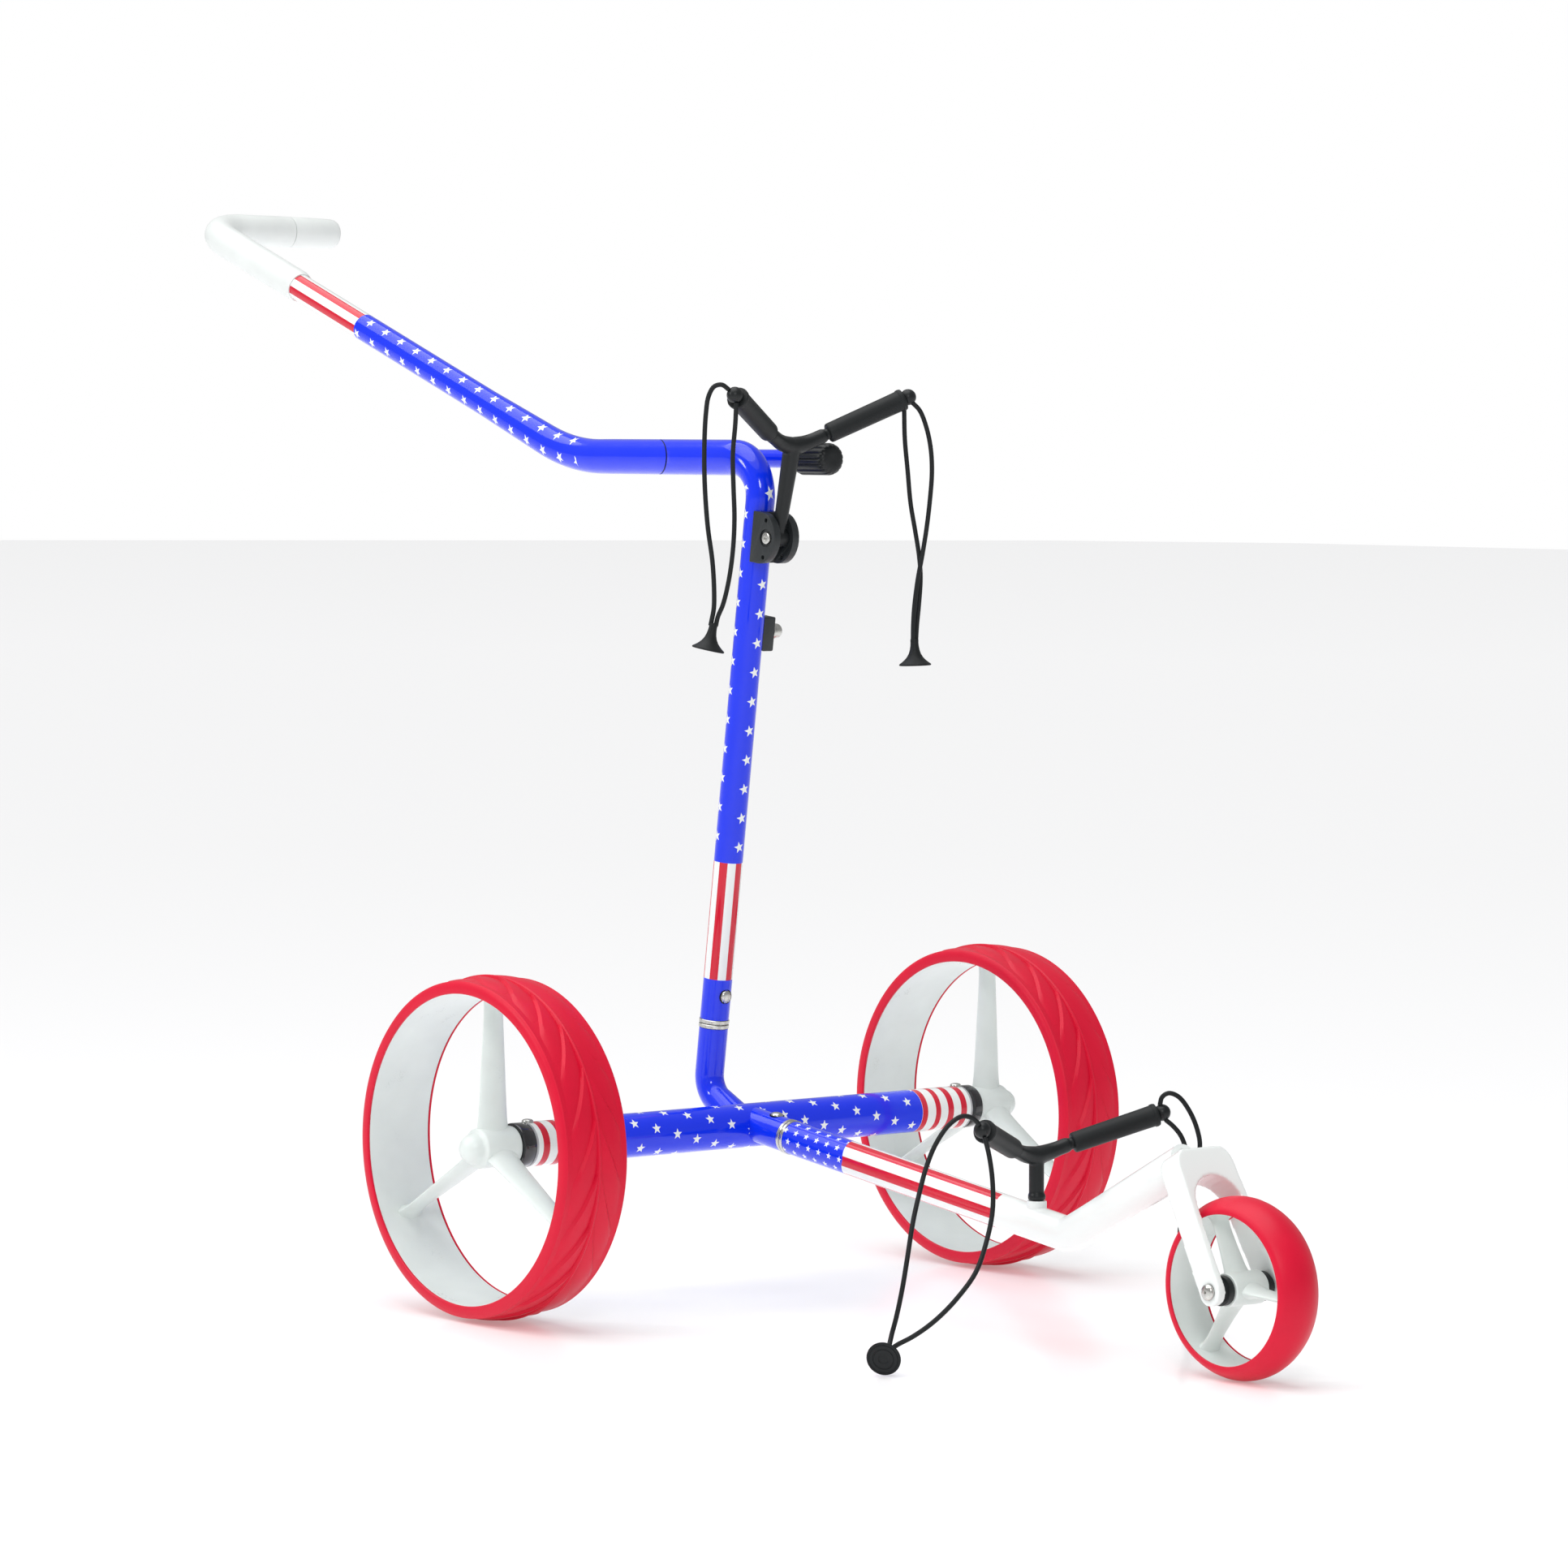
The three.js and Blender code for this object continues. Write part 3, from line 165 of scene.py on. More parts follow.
cord_thickness = 4
routes = {
    "upper_right": {
        "body": "upper_rest",
        "outer": [(-101, -84.1, 780.6), (-106, -81, 784.5), (-111, -77, 783), (-114.5, -74, 775),
                  (-116, -72.4, 760), (-117, -72, 730), (-116, -72, 699), (-114, -74, 665),
                  (-111, -76.8, 637), (-109.8, -78, 614), (-109.8, -78, 597),
                  (-110.8, -76.9, 588), (-111.6, -76.1, 582.2)],
        "inner": [(-96.3, -88.5, 769.3), (-97.2, -88.6, 752), (-98.6, -87.4, 726),
                  (-98, -88, 699), (-97, -88.5, 672), (-98, -88, 645), (-100.5, -86, 620),
                  (-104, -83, 600), (-107, -80, 589.5), (-108.2, -78.9, 581.9)],
        "apex": (-110, -77.5, 581), "axis": (-0.16, 0.14, -1),
    },
    "upper_left": {
        "body": "upper_rest",
        "outer": [(100.4, -90.3, 772.9), (105.3, -94.6, 766), (110, -98.4, 751),
                  (113, -100.8, 733), (114, -101.5, 713), (112.5, -101, 689), (110, -100, 665),
                  (107, -98.5, 643), (104, -96, 620), (102, -94.3, 597), (101.5, -93.7, 581),
                  (101.7, -93.4, 567.2)],
        "inner": [(95.2, -85.6, 768.6), (96, -86, 742), (98, -88, 714), (100.5, -89.5, 686),
                  (104.5, -91.5, 662), (107.8, -93.1, 641), (108.9, -94.2, 622),
                  (107.9, -93.6, 599), (106.5, -92.9, 581), (105.9, -92.6, 567.2)],
        "apex": (103.8, -93, 566), "axis": (0.03, -0.03, -1),
    },
    "lower_right": {
        "body": "lower_rest",
        "outer": [(-103.8, -409.7, 191.4), (-109, -407.4, 196.6), (-117, -403.8, 198.4),
                  (-127, -399.6, 192), (-138, -396, 177), (-147, -395, 159), (-155, -397, 142),
                  (-167, -402, 117), (-176, -406, 90), (-184, -409, 65), (-189.5, -408.5, 43),
                  (-193.2, -407.5, 29.6), (-198.7, -410.9, 22), (-200.2, -412, 21.4)],
        "inner": [(-100.1, -412.3, 180.9), (-100.6, -418, 168), (-101, -423, 148),
                  (-105, -428, 124), (-115, -432, 100), (-130, -436, 77), (-147, -433, 57.5),
                  (-159, -427, 44), (-169, -421, 34.5), (-179, -415, 27), (-189, -409.6, 21.4),
                  (-197.8, -410.1, 17.6), (-199.4, -411.3, 17.1)],
        "apex": (-200.3, -412, 19.1), "axis": (-0.78, -0.58, -0.24),
    },
    "lower_left": {
        "body": "lower_rest",
        "outer": [(98.8, -408.9, 193.8), (99.6, -410.6, 200.6), (103.5, -414.4, 204),
                  (110, -419.4, 201), (117, -424.6, 190), (122.5, -428.6, 175),
                  (125.4, -429.6, 160), (124, -426.5, 145), (121, -421.5, 131),
                  (119.4, -419, 116), (119, -418, 97), (119.5, -417.6, 73), (119.3, -418.8, 51),
                  (118.7, -420.4, 34.6), (121.5, -420.1, 27.7), (123, -419.9, 26.3)],
        "inner": [(102.1, -412.3, 181.9), (106.6, -417.4, 176.4), (111.4, -421.6, 168.4),
                  (114.6, -424, 157), (115.2, -423.4, 143), (115, -420.6, 124),
                  (114.8, -418.9, 100), (114, -419, 76), (113.9, -420.2, 54), (114.3, -421, 34.8),
                  (118.4, -420.5, 24.4), (120.1, -420.2, 22.9)],
        "apex": (122, -420, 24.2), "axis": (0.75, 0.1, -0.65),
    },
}


def eased(points, per_span=6):
    """A smooth line through the points, even where they are unevenly spaced."""
    ends = [2 * points[0] - points[1], *points, 2 * points[-1] - points[-2]]
    line = []
    for a, b, c, d in zip(ends, ends[1:], ends[2:], ends[3:]):
        ta = 0.0
        tb = ta + (b - a).length ** 0.5
        tc = tb + (c - b).length ** 0.5
        td = tc + (d - c).length ** 0.5
        for k in range(per_span):
            t = tb + (tc - tb) * k / per_span
            ab = a.lerp(b, (t - ta) / (tb - ta))
            bc = b.lerp(c, (t - tb) / (tc - tb))
            cd = c.lerp(d, (t - tc) / (td - tc))
            left = ab.lerp(bc, (t - ta) / (tc - ta))
            far = bc.lerp(cd, (t - tb) / (td - tb))
            line.append(left.lerp(far, (t - tb) / (tc - tb)))
    return [*line, points[-1]]


def put(thing, finish, body, *nodes, slot=None):
    """A finished piece: its material, the body that carries it, and the nodes it stands for.
    Its material slot, where that isn't the finish's own, is not used."""
    if thing.name not in bpy.context.scene.collection.objects:
        bpy.context.scene.collection.objects.link(thing)
    thing.data.materials.clear()
    thing.data.materials.append(finish.material)
    if nodes:
        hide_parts(*nodes)
    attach(thing, body)


def shell(name, rings, along=None, sharp=35):
    """A closed skin over rings of points, in layout millimetres, capped at both ends.
    Its own UV map has how far round a ring a point is, in turns, and `along` in mm."""
    count = len(rings[0])
    middle = [sum(ring, Vector()) / count for ring in (rings[0], rings[-1])]
    corners = [place(p) for ring in rings for p in ring] + [place(p) for p in middle]
    along = along or list(range(len(rings)))
    faces, maps = [], []
    for i in range(len(rings) - 1):
        for j in range(count):
            k = (j + 1) % count
            faces.append((i * count + j, i * count + k, (i + 1) * count + k, (i + 1) * count + j))
            maps += [(j / count, along[i]), ((j + 1) / count, along[i]),
                     ((j + 1) / count, along[i + 1]), (j / count, along[i + 1])]
    for j in range(count):
        k = (j + 1) % count
        last = (len(rings) - 1) * count
        faces.append((k, j, len(corners) - 2))
        faces.append((last + j, last + k, len(corners) - 1))
        maps += [((j + 1) / count, along[0]), (j / count, along[0]), (j / count, along[0]),
                 (j / count, along[-1]), ((j + 1) / count, along[-1]), (j / count, along[-1])]
    mesh = bpy.data.meshes.new(name)
    mesh.from_pydata(corners, [], faces)
    for spot, uv in zip(mesh.uv_layers.new(name="wrap").data, maps):
        spot.uv = uv
    return bpy.data.objects.new(name, smoothed(mesh, sharp))


def smoothed(mesh, sharp=35):
    """Merges doubles, turns every face outwards, and rounds the shading except at edges."""
    form = bmesh.new()
    form.from_mesh(mesh)
    bmesh.ops.remove_doubles(form, verts=form.verts, dist=1e-6)
    bmesh.ops.recalc_face_normals(form, faces=form.faces)
    form.to_mesh(mesh)
    form.free()
    mesh.shade_smooth()
    mesh.set_sharp_from_angle(angle=math.radians(sharp))
    return mesh


def lathe(name, profile, base, axis, sides=64, sharp=35):
    """A profile of (radius, height along the axis), turned about the axis from base."""
    base, axis = Vector(base), Vector(axis).normalized()
    turn_to = Vector((0, 0, 1)).rotation_difference(axis)
    rings = [[base + turn_to @ Vector((max(r, 0.01) * math.cos(a), max(r, 0.01) * math.sin(a), h))
              for a in (2 * math.pi * j / sides for j in range(sides))] for r, h in profile]
    return shell(name, rings, sharp=sharp)


for where, route in routes.items():
    trumpet = lathe(f"rubber_cone_{where}", [
        (2.4, -3.4), (3.3, -3.2), (3.6, -2.2), (3.5, 0.4), (3.7, 3), (4.3, 6.5), (5.4, 9.8),
        (7.2, 12.8), (9.4, 15.2), (11.8, 17.2), (13.3, 18.2), (13.9, 18.9), (13.9, 19.5),
        (13.3, 20), (12.4, 20),
        (12.2, 19.6), (11.4, 19.6), (11.2, 20), (8.9, 20), (8.7, 19.6), (7.9, 19.6), (7.7, 20),
        (4.6, 20), (4.2, 19.5), (2.6, 19.4), (1.2, 19.7),
    ], route["apex"], route["axis"], sharp=50)
    put(trumpet, black_rubber, route["body"], f"cone_{where}")
    for strand in ("outer", "inner"):
        line = [place(p) for p in eased([Vector(p) for p in route[strand]])]
        curve = bpy.data.curves.new(f"elastic_{where}_{strand}", "CURVE")
        curve.dimensions = "3D"
        curve.bevel_depth = cord_thickness / 2000
        curve.bevel_resolution = 4
        curve.use_fill_caps = True
        spline = curve.splines.new("POLY")
        spline.points.add(len(line) - 1)
        for knot, p in zip(spline.points, line):
            knot.co = (*p, 1)
        spline.use_smooth = True
        elastic = bpy.data.objects.new(curve.name, curve)
        put(elastic, black_rubber, route["body"], f"cord_{where}_{strand}")

# ------------------------------------------------------------------ floor and light
# A plain pale floor, a large soft light overhead, and two long soft lights that draw
# the bright lines along the lacquered tubes.
bpy.context.scene.view_settings.view_transform = "Standard"
floor_paint = Finish("pale_floor", Base_Color=(0.90, 0.90, 0.91, 1), Roughness=0.2,
                     Emission_Color=(1, 1, 1, 1), Emission_Strength=0.24)
floor_mesh = bpy.data.meshes.new("floor")
floor_mesh.from_pydata([(x * 40, y * 40, 0) for x, y in ((-1, -1), (1, -1), (1, 1), (-1, 1))],
                       [], [(0, 1, 2, 3)])
floor_mesh.materials.append(floor_paint.material)
floor = bpy.data.objects.new("floor", floor_mesh)
bpy.context.scene.collection.objects.link(floor)

world = bpy.data.worlds.new("studio")
world.use_nodes = True
sky = world.node_tree
backdrop, glow = sky.nodes["Background"], sky.nodes.new("ShaderNodeBackground")
choice, rays = sky.nodes.new("ShaderNodeMixShader"), sky.nodes.new("ShaderNodeLightPath")
backdrop.inputs["Color"].default_value = glow.inputs["Color"].default_value = (1, 1, 1, 1)
backdrop.inputs["Strength"].default_value, glow.inputs["Strength"].default_value = 0.42, 1.0
sky.links.new(rays.outputs["Is Camera Ray"], choice.inputs[0])
sky.links.new(backdrop.outputs[0], choice.inputs[1])
sky.links.new(glow.outputs[0], choice.inputs[2])
sky.links.new(choice.outputs[0], sky.nodes["World Output"].inputs["Surface"])
bpy.context.scene.world = world
for spot, (at, aim, size, power) in {
    "overhead": ((-0.6, -0.4, 2.9), (0, 0, 0.4), 2.6, 14),
    "front_strip": ((-1.9, -2.6, 1.9), (0, -0.1, 0.5), 0.7, 20),
    "side_strip": ((-2.6, 0.9, 1.7), (0, 0.1, 0.5), 0.6, 14),
}.items():
    lamp = bpy.data.lights.new(spot, "AREA")
    lamp.shape, lamp.size, lamp.energy = "DISK", size, power
    stand = bpy.data.objects.new(spot, lamp)
    aim_line = (Vector(aim) - Vector(at)).to_track_quat("-Z", "Y")
    stand.matrix_world = Matrix.Translation(at) @ aim_line.to_matrix().to_4x4()
    bpy.context.scene.collection.objects.link(stand)

daylight = bpy.data.lights.new("even_top_light", "SUN")
daylight.energy, daylight.angle = 2.0, math.radians(70)
hanger = bpy.data.objects.new("even_top_light", daylight)
hanger.rotation_euler = (math.radians(-14), math.radians(-12), 0)
bpy.context.scene.collection.objects.link(hanger)

# ------------------------------------------------------------------ rear tyres
# Foam-filled red rubber tyres. The tread has a raised vein round its middle and leaf
# ribs that overlap on each side of it. One leaf is modelled and repeated round the wheel.
red_rubber = moulded("red_rubber", (0.70, 0.004, 0.034, 1), 0.42, 500.0, 0.0002,
                     Specular_IOR_Level=0.25)

ring_tree = bpy.data.node_groups.new("copies_round_a_wheel", "GeometryNodeTree")
for label, way, kind in (("Piece", "INPUT", "NodeSocketGeometry"),
                         ("Count", "INPUT", "NodeSocketInt"),
                         ("Finish", "INPUT", "NodeSocketMaterial"),
                         ("Ring", "OUTPUT", "NodeSocketGeometry")):
    ring_tree.interface.new_socket(label, in_out=way, socket_type=kind)
grow = ring_tree.nodes.new
entry, spots = grow("NodeGroupInput"), grow("GeometryNodePoints")
number = grow("GeometryNodeInputIndex")
step, angle, spin = grow("ShaderNodeMath"), grow("ShaderNodeMath"), grow("ShaderNodeCombineXYZ")
copies, real = grow("GeometryNodeInstanceOnPoints"), grow("GeometryNodeRealizeInstances")
coat, way_out = grow("GeometryNodeSetMaterial"), grow("NodeGroupOutput")
step.operation, angle.operation = "DIVIDE", "MULTIPLY"
step.inputs[0].default_value = math.tau
for a, b in (
    (entry.outputs["Count"], spots.inputs["Count"]), (entry.outputs["Count"], step.inputs[1]),
    (number.outputs[0], angle.inputs[0]), (step.outputs[0], angle.inputs[1]),
    (angle.outputs[0], spin.inputs["X"]), (spots.outputs[0], copies.inputs["Points"]),
    (entry.outputs["Piece"], copies.inputs["Instance"]),
    (spin.outputs[0], copies.inputs["Rotation"]),
    (copies.outputs[0], real.inputs[0]), (real.outputs[0], coat.inputs["Geometry"]),
    (entry.outputs["Finish"], coat.inputs["Material"]), (coat.outputs[0], way_out.inputs["Ring"]),
):
    ring_tree.links.new(a, b)


def settled(source, name):
    """The mesh that an object's modifiers give; the object itself goes."""
    mesh = bpy.data.meshes.new_from_object(
        source.evaluated_get(bpy.context.evaluated_depsgraph_get()))
    bpy.data.objects.remove(source)
    mesh.name = name
    return mesh


def repeated(name, piece_mesh, count, finish, centre, flipped=False, sharp=35):
    """Copies of a mesh made about the X axis, evenly round it, set down at the centre."""
    source = bpy.data.objects.new(name + "_source", piece_mesh)
    bpy.context.scene.collection.objects.link(source)
    around = source.modifiers.new("around", "NODES")
    around.node_group = ring_tree
    sockets = {item.name: item.identifier for item in ring_tree.interface.items_tree}
    around[sockets["Count"]] = count
    around[sockets["Finish"]] = finish.material
    mesh = settled(source, name)
    if flipped:
        mesh.transform(Matrix.Rotation(math.pi, 4, "Z"))
    mesh.transform(Matrix.Translation(centre))
    return bpy.data.objects.new(name, smoothed(mesh, sharp))


def wheel_lathe(name, profile, centre, sides, sharp=35):
    """A closed ring with a profile of (radius, place along the axle), about the X axis."""
    rings = []
    for r, x in [*profile, profile[0]]:
        rings.append([(centre.x + x / 1000, centre.y + r / 1000 * math.cos(a),
                       centre.z + r / 1000 * math.sin(a))
                      for a in (math.tau * j / sides for j in range(sides))])
    count = len(rings) - 1
    corners = [p for ring in rings[:-1] for p in ring]
    faces = [(i * sides + j, i * sides + (j + 1) % sides,
              (i + 1) % count * sides + (j + 1) % sides,
              (i + 1) % count * sides + j) for i in range(count) for j in range(sides)]
    mesh = bpy.data.meshes.new(name)
    mesh.from_pydata(corners, [], faces)
    return bpy.data.objects.new(name, smoothed(mesh, sharp))


def crown(x):
    """Radius of the rear tyre's base, under the ribs."""
    return 141.6 - 1.2 * (abs(x) / 30) ** 1.6


def leaf(side, turn=18.0, spread=25.0, outer=25.0):
    """One rib of the tread: a curved scale, thick along one edge and thin along the other."""
    rows, columns = 15, 8
    mesh, corners, faces = bpy.data.meshes.new("leaf"), [], []
    for under in (0, 1):
        for i in range(rows + 1):
            out = i / rows
            x = side * (0.6 + outer * out)
            start = -90 + spread * (out ** 0.82)
            width = turn * 1.12 * (1 - 0.45 * out ** 3)
            for j in range(columns + 1):
                along = j / columns
                high = (3.1 * (1 - along) ** 0.8 + 0.15) * (1 - out ** 5) * (1 - 0.35 * out)
                lift = min(1.0, along / 0.09) * high
                r = (crown(x) + (lift if not under else -0.8)) / 1000
                a = math.radians(start + width * along)
                corners.append((x / 1000, r * math.cos(a), r * math.sin(a)))
    wide, block = columns + 1, (rows + 1) * (columns + 1)
    for i in range(rows):
        for j in range(columns):
            q = i * wide + j
            faces.append((q, q + 1, q + wide + 1, q + wide))
            faces.append((block + q, block + q + wide, block + q + wide + 1, block + q + 1))
    for i in range(rows):
        for q in (i * wide, i * wide + columns):
            faces.append((q, q + wide, block + q + wide, block + q))
    for j in range(columns):
        for q in (j, rows * wide + j):
            faces.append((q, q + 1, block + q + 1, block + q))
    mesh.from_pydata(corners, [], faces)
    return smoothed(mesh, 30)


sides = (("right", -1), ("left", 1))
for side, sign in sides:
    low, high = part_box(f"rear_tyre_{side}")
    centre = (low + high) / 2
    base = [(130.5, -31.1), (130.3, -32.6), (131.2, -33.4), (133.5, -33.5), (136.5, -33.2),
            (139.3, -32.3), (140.8, -30.6)]
    base += [(crown(x), x) for x in range(-28, -2, 4)] + [(crown(2.4), -2.4), (144.3, -1.2)]
    base += [(144.9, 0)] + [(r, -x) for r, x in reversed(base)] + [(133.9, 31.1), (133.9, -31.1)]
    carcass = wheel_lathe(f"rear_tyre_{side}_carcass", base, centre, 200)
    put(carcass, red_rubber, f"wheel_{side}", f"rear_tyre_{side}", slot="red_tread")
    for half, half_sign in (("near", -1), ("far", 1)):
        ribs = repeated(f"rear_tyre_{side}_ribs_{half}", leaf(half_sign), 20, red_rubber, centre)
        put(ribs, red_rubber, f"wheel_{side}", slot="red_tread")

# ------------------------------------------------------------------ rear wheels
# Each rear wheel is moulded white nylon: a deep drum, three bladed spokes that swell
# into it, and a domed hub. It turns on a steel-cased ball bearing.
white_nylon = moulded("white_nylon", (0.80, 0.86, 0.835, 1), 0.30, 700.0, 0.0001,
                      Subsurface_Weight=0.08, Subsurface_Radius=(0.004, 0.004, 0.004),
                      Specular_IOR_Level=0.5)
turned_steel = Finish("turned_steel", Metallic=1.0)
grooves = turned_steel.noise(260.0, 4.0)
turned_steel.feed("Base Color", turned_steel.mix(
    grooves, (0.42, 0.42, 0.40, 1), (0.66, 0.66, 0.63, 1)))
turned_steel.feed("Roughness", grooves * 0.2 + 0.16)
turned_steel.bump(grooves, 0.15, 0.0001)
axle_height = 145
shaft_start = 217  # how far out a wheel's quick-release shaft begins, inside the axle tube


def blade(inner, outer, width, depth, taper, rows=22, around=24):
    """One spoke about +Y: a lens-shaped blade, with soft swellings at the hub and drum."""
    mesh, corners, faces = bpy.data.meshes.new("blade"), [], []
    for i in range(rows + 1):
        out = i / rows
        at = inner + (outer - inner) * out
        size = 1 + (taper - 1) * out
        root = math.exp(-out * (outer - inner) / 6.0)
        foot = math.exp(-(1 - out) * (outer - inner) / 5.0)
        wide = (width * size) / 2 + 4.0 * foot + 1.0 * root
        deep = (depth * size) / 2 + 3.0 * root + 4.0 * foot
        for j in range(around):
            a = math.tau * j / around
            corners.append((wide * math.cos(a) / 1000, at / 1000,
                            deep * math.sin(a) * abs(math.sin(a)) ** 0.35 / 1000))
    for i in range(rows):
        for j in range(around):
            k = (j + 1) % around
            faces.append((i * around + j, i * around + k,
                          (i + 1) * around + k, (i + 1) * around + j))
    faces += [tuple(range(around)), tuple(rows * around + j for j in range(around))]
    mesh.from_pydata(corners, [], faces)
    return smoothed(mesh, 60)


for side, sign in sides:
    low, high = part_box(f"rear_tyre_{side}")
    centre = (low + high) / 2
    drum = wheel_lathe(f"rear_rim_{side}_drum", [
        (130.6, -30.6), (131.2, -31.0), (133.2, -31.0), (133.5, -30.7), (133.5, 30.7),
        (133.2, 31.0), (131.2, 31.0), (130.6, 30.6), (131.1, 24), (131.8, 12), (132, 0),
        (131.8, -12), (131.1, -24)], centre, 160)
    put(drum, white_nylon, f"wheel_{side}", f"rear_rim_{side}", slot="white_plastic")
    blades = blade(14, 132.4, 31, 11.5, 0.57)
    blades.transform(Matrix.Rotation(math.radians(90), 4, "X"))
    spokes = repeated(f"rear_rim_{side}_spokes", blades, 3, white_nylon, centre, sign < 0)
    put(spokes, white_nylon, f"wheel_{side}", slot="white_plastic")
    hub_at = Vector((centre.x * 1000, 0, axle_height))
    hub = lathe(f"rear_rim_{side}_hub", [
        (11.6, -13), (11.8, -19.2), (12.4, -19.6), (15.8, -19.6), (16.6, -19.2), (17, -18.2),
        (17, 14.6), (16.8, 15.8), (16, 16.8), (14.6, 17.2), (13.6, 17.8), (13.1, 19.5),
        (12.4, 22.6), (11, 25.6), (9, 28.2), (6.4, 30.1), (3.2, 31.2), (0, 31.5)],
        hub_at, (sign, 0, 0), sharp=50)
    put(hub, white_nylon, f"wheel_{side}", slot="white_plastic")
    race = lathe(f"rear_bearing_{side}_case", [
        (5.9, -18.0), (7.6, -18.6), (7.7, -19.0), (9.0, -19.0), (9.1, -18.7), (9.3, -18.7),
        (9.4, -19.1), (11.0, -19.1), (11.2, -18.9), (11.2, 8), (0, 8)], hub_at, (sign, 0, 0))
    put(race, turned_steel, f"wheel_{side}", f"rear_bearing_{side}", slot="bright_steel")
    pin = lathe(f"axle_shaft_{side}_pin", [
        (0, 0), (5.9, 0), (5.9, 58), (5.6, 58.4), (5.6, 60), (5.9, 60.4), (5.9, 70.6),
        (4.9, 72), (0, 72)], (sign * shaft_start, 0, axle_height), (sign, 0, 0), 40)
    put(pin, turned_steel, f"wheel_axle_{side}", f"axle_shaft_{side}", slot="dark_steel")

# ------------------------------------------------------------------ main axle tube
# A lacquered steel tube with two welded stubs, for the upright and for the front arm.
# A film under the lacquer gives it white stars, and red and white rings at its ends.
blue, white, red = (0.002, 0.028, 0.80, 1), (0.84, 0.87, 0.86, 1), (0.62, 0.006, 0.03, 1)


def lacquer(name):
    """Bright gloss lacquer, whose colour is laid on by the piece's own pattern."""
    finish = Finish(name, Coat_Roughness=0.03, Specular_IOR_Level=0.25)
    wave = finish.noise(60.0, 2.0)
    finish.feed("Roughness", wave * 0.08 + 0.12)
    finish.feed("Coat Weight", wave * 0.2 + 0.35)
    finish.bump(wave, 0.04, 0.0006)
    return finish


def stars(finish, around, along, first, row, column, size, tilt=0.0):
    """1 inside five-pointed stars, one at `first` and the others a row or a column step from
    it. Places and steps are (along the tube, round the tube), in mm."""
    area = row[0] * column[1] - row[1] * column[0]
    x, y = along - first[0], around - first[1]
    in_row = (x * column[1] - y * column[0]) * (1 / area)
    in_column = (y * row[0] - x * row[1]) * (1 / area)
    near_row = finish.maths("FRACT", in_row + 0.5) - 0.5
    near_column = finish.maths("FRACT", in_column + 0.5) - 0.5
    u = near_row * row[0] + near_column * column[0]
    v = near_row * row[1] + near_column * column[1]
    reach = finish.maths("SQRT", u * u + v * v)
    a = finish.maths("ARCTAN2", v, u) + (math.radians(36) + tilt)
    fold = finish.maths("ABSOLUTE", finish.maths("FLOORED_MODULO", a, math.radians(72))
                        - math.radians(36))
    x, y = reach * finish.maths("COSINE", fold), reach * finish.maths("SINE", fold)
    notch = Vector((math.cos(math.radians(36)), math.sin(math.radians(36)))) * size * 0.42
    side_way = Vector((notch.y, size - notch.x)).normalized()
    over = (x - size) * side_way.x + y * side_way.y
    return finish.maths("MULTIPLY_ADD", over, -6.0, 0.5, clamped=True)


def film(finish):
    """How far round and how far along its tube a point of the piece is."""
    wrap = finish.node("ShaderNodeUVMap", {"uv_map": "wrap"})
    split = finish.node("ShaderNodeSeparateXYZ", {}, {0: wrap})
    return split, Wire(finish, split.socket.node.outputs[1])


axle_film = lacquer("axle_lacquer")
around, along = film(axle_film)
out = axle_film.maths("ABSOLUTE", along)
starry = stars(axle_film, around * 119.4, along, (-117, 53), (22.2, 6.2), (16.5, -16.7), 4.9, 0.3)
starry = starry * (out < 187)
ends = out.between(187, 245)
reds = (out.between(187.3, 193.5) + out.between(203, 209) + out.between(217.6, 224.4)
        + out.between(233.2, 240.1))
ground = axle_film.mix(starry, blue, white)
ground = axle_film.mix(ends, ground, white)
ground = axle_film.mix(reds, ground, red)
# The tube's last 2 mm, next to the black end rings, are painted grey: a painted highlight for the
# thin silver line along each ring's edge.
ground = axle_film.mix(out > 245, ground, (0.4, 0.4, 0.42, 1))
axle_film.feed("Base Color", ground)


def rounded(corners, bends, steps=14):
    """Straight runs joined by round bends, as a line of points."""
    corners = [Vector(c) for c in corners]
    line = [corners[0]]
    for i, bend in enumerate(bends, 1):
        before = (corners[i - 1] - corners[i]).normalized()
        after = (corners[i + 1] - corners[i]).normalized()
        half = before.angle(after) / 2
        centre = corners[i] + (before + after).normalized() * (bend / math.sin(half))
        arm = corners[i] + before * (bend / math.tan(half)) - centre
        axis = after.cross(before).normalized()
        for k in range(steps + 1):
            line.append(centre + Quaternion(axis, (math.pi - 2 * half) * k / steps) @ arm)
    return [*line, corners[-1]]


def pipe(name, line, radius, start, sides=56, sharp=35):
    """A round bar along a line. Its wrap starts at the direction `start` and runs round;
    radius is a number, or a function of the distance along."""
    size = radius if callable(radius) else lambda s: radius
    distances = [0.0]
    for a, b in zip(line, line[1:]):
        distances.append(distances[-1] + (b - a).length)
    rings, normal = [], Vector(start)
    for i, p in enumerate(line):
        tangent = (line[min(i + 1, len(line) - 1)] - line[max(i - 1, 0)]).normalized()
        normal = (normal - tangent * normal.dot(tangent)).normalized()
        other = tangent.cross(normal)
        r = size(distances[i])
        rings.append([p + (normal * math.cos(a) + other * math.sin(a)) * r
                      for a in (math.tau * j / sides for j in range(sides))])
    return shell(name, rings, along=distances, sharp=sharp)


def dense(line, step):
    """The same line with more points on its long runs."""
    made = [line[0]]
    for a, b in zip(line, line[1:]):
        count = max(1, round((b - a).length / step))
        made += [a.lerp(b, k / count) for k in range(1, count + 1)]
    return made


half_length, axle_radius = 247, 19
bar = pipe("axle_tube_bar", [Vector((x, 0, axle_height)) for x in (-half_length, half_length)],
           axle_radius, (0, 1, 0))
for loop in bar.data.uv_layers["wrap"].data:
    loop.uv = (loop.uv[0], loop.uv[1] - half_length)
put(bar, axle_film, "frame", "axle_tube", slot="blue_coat")

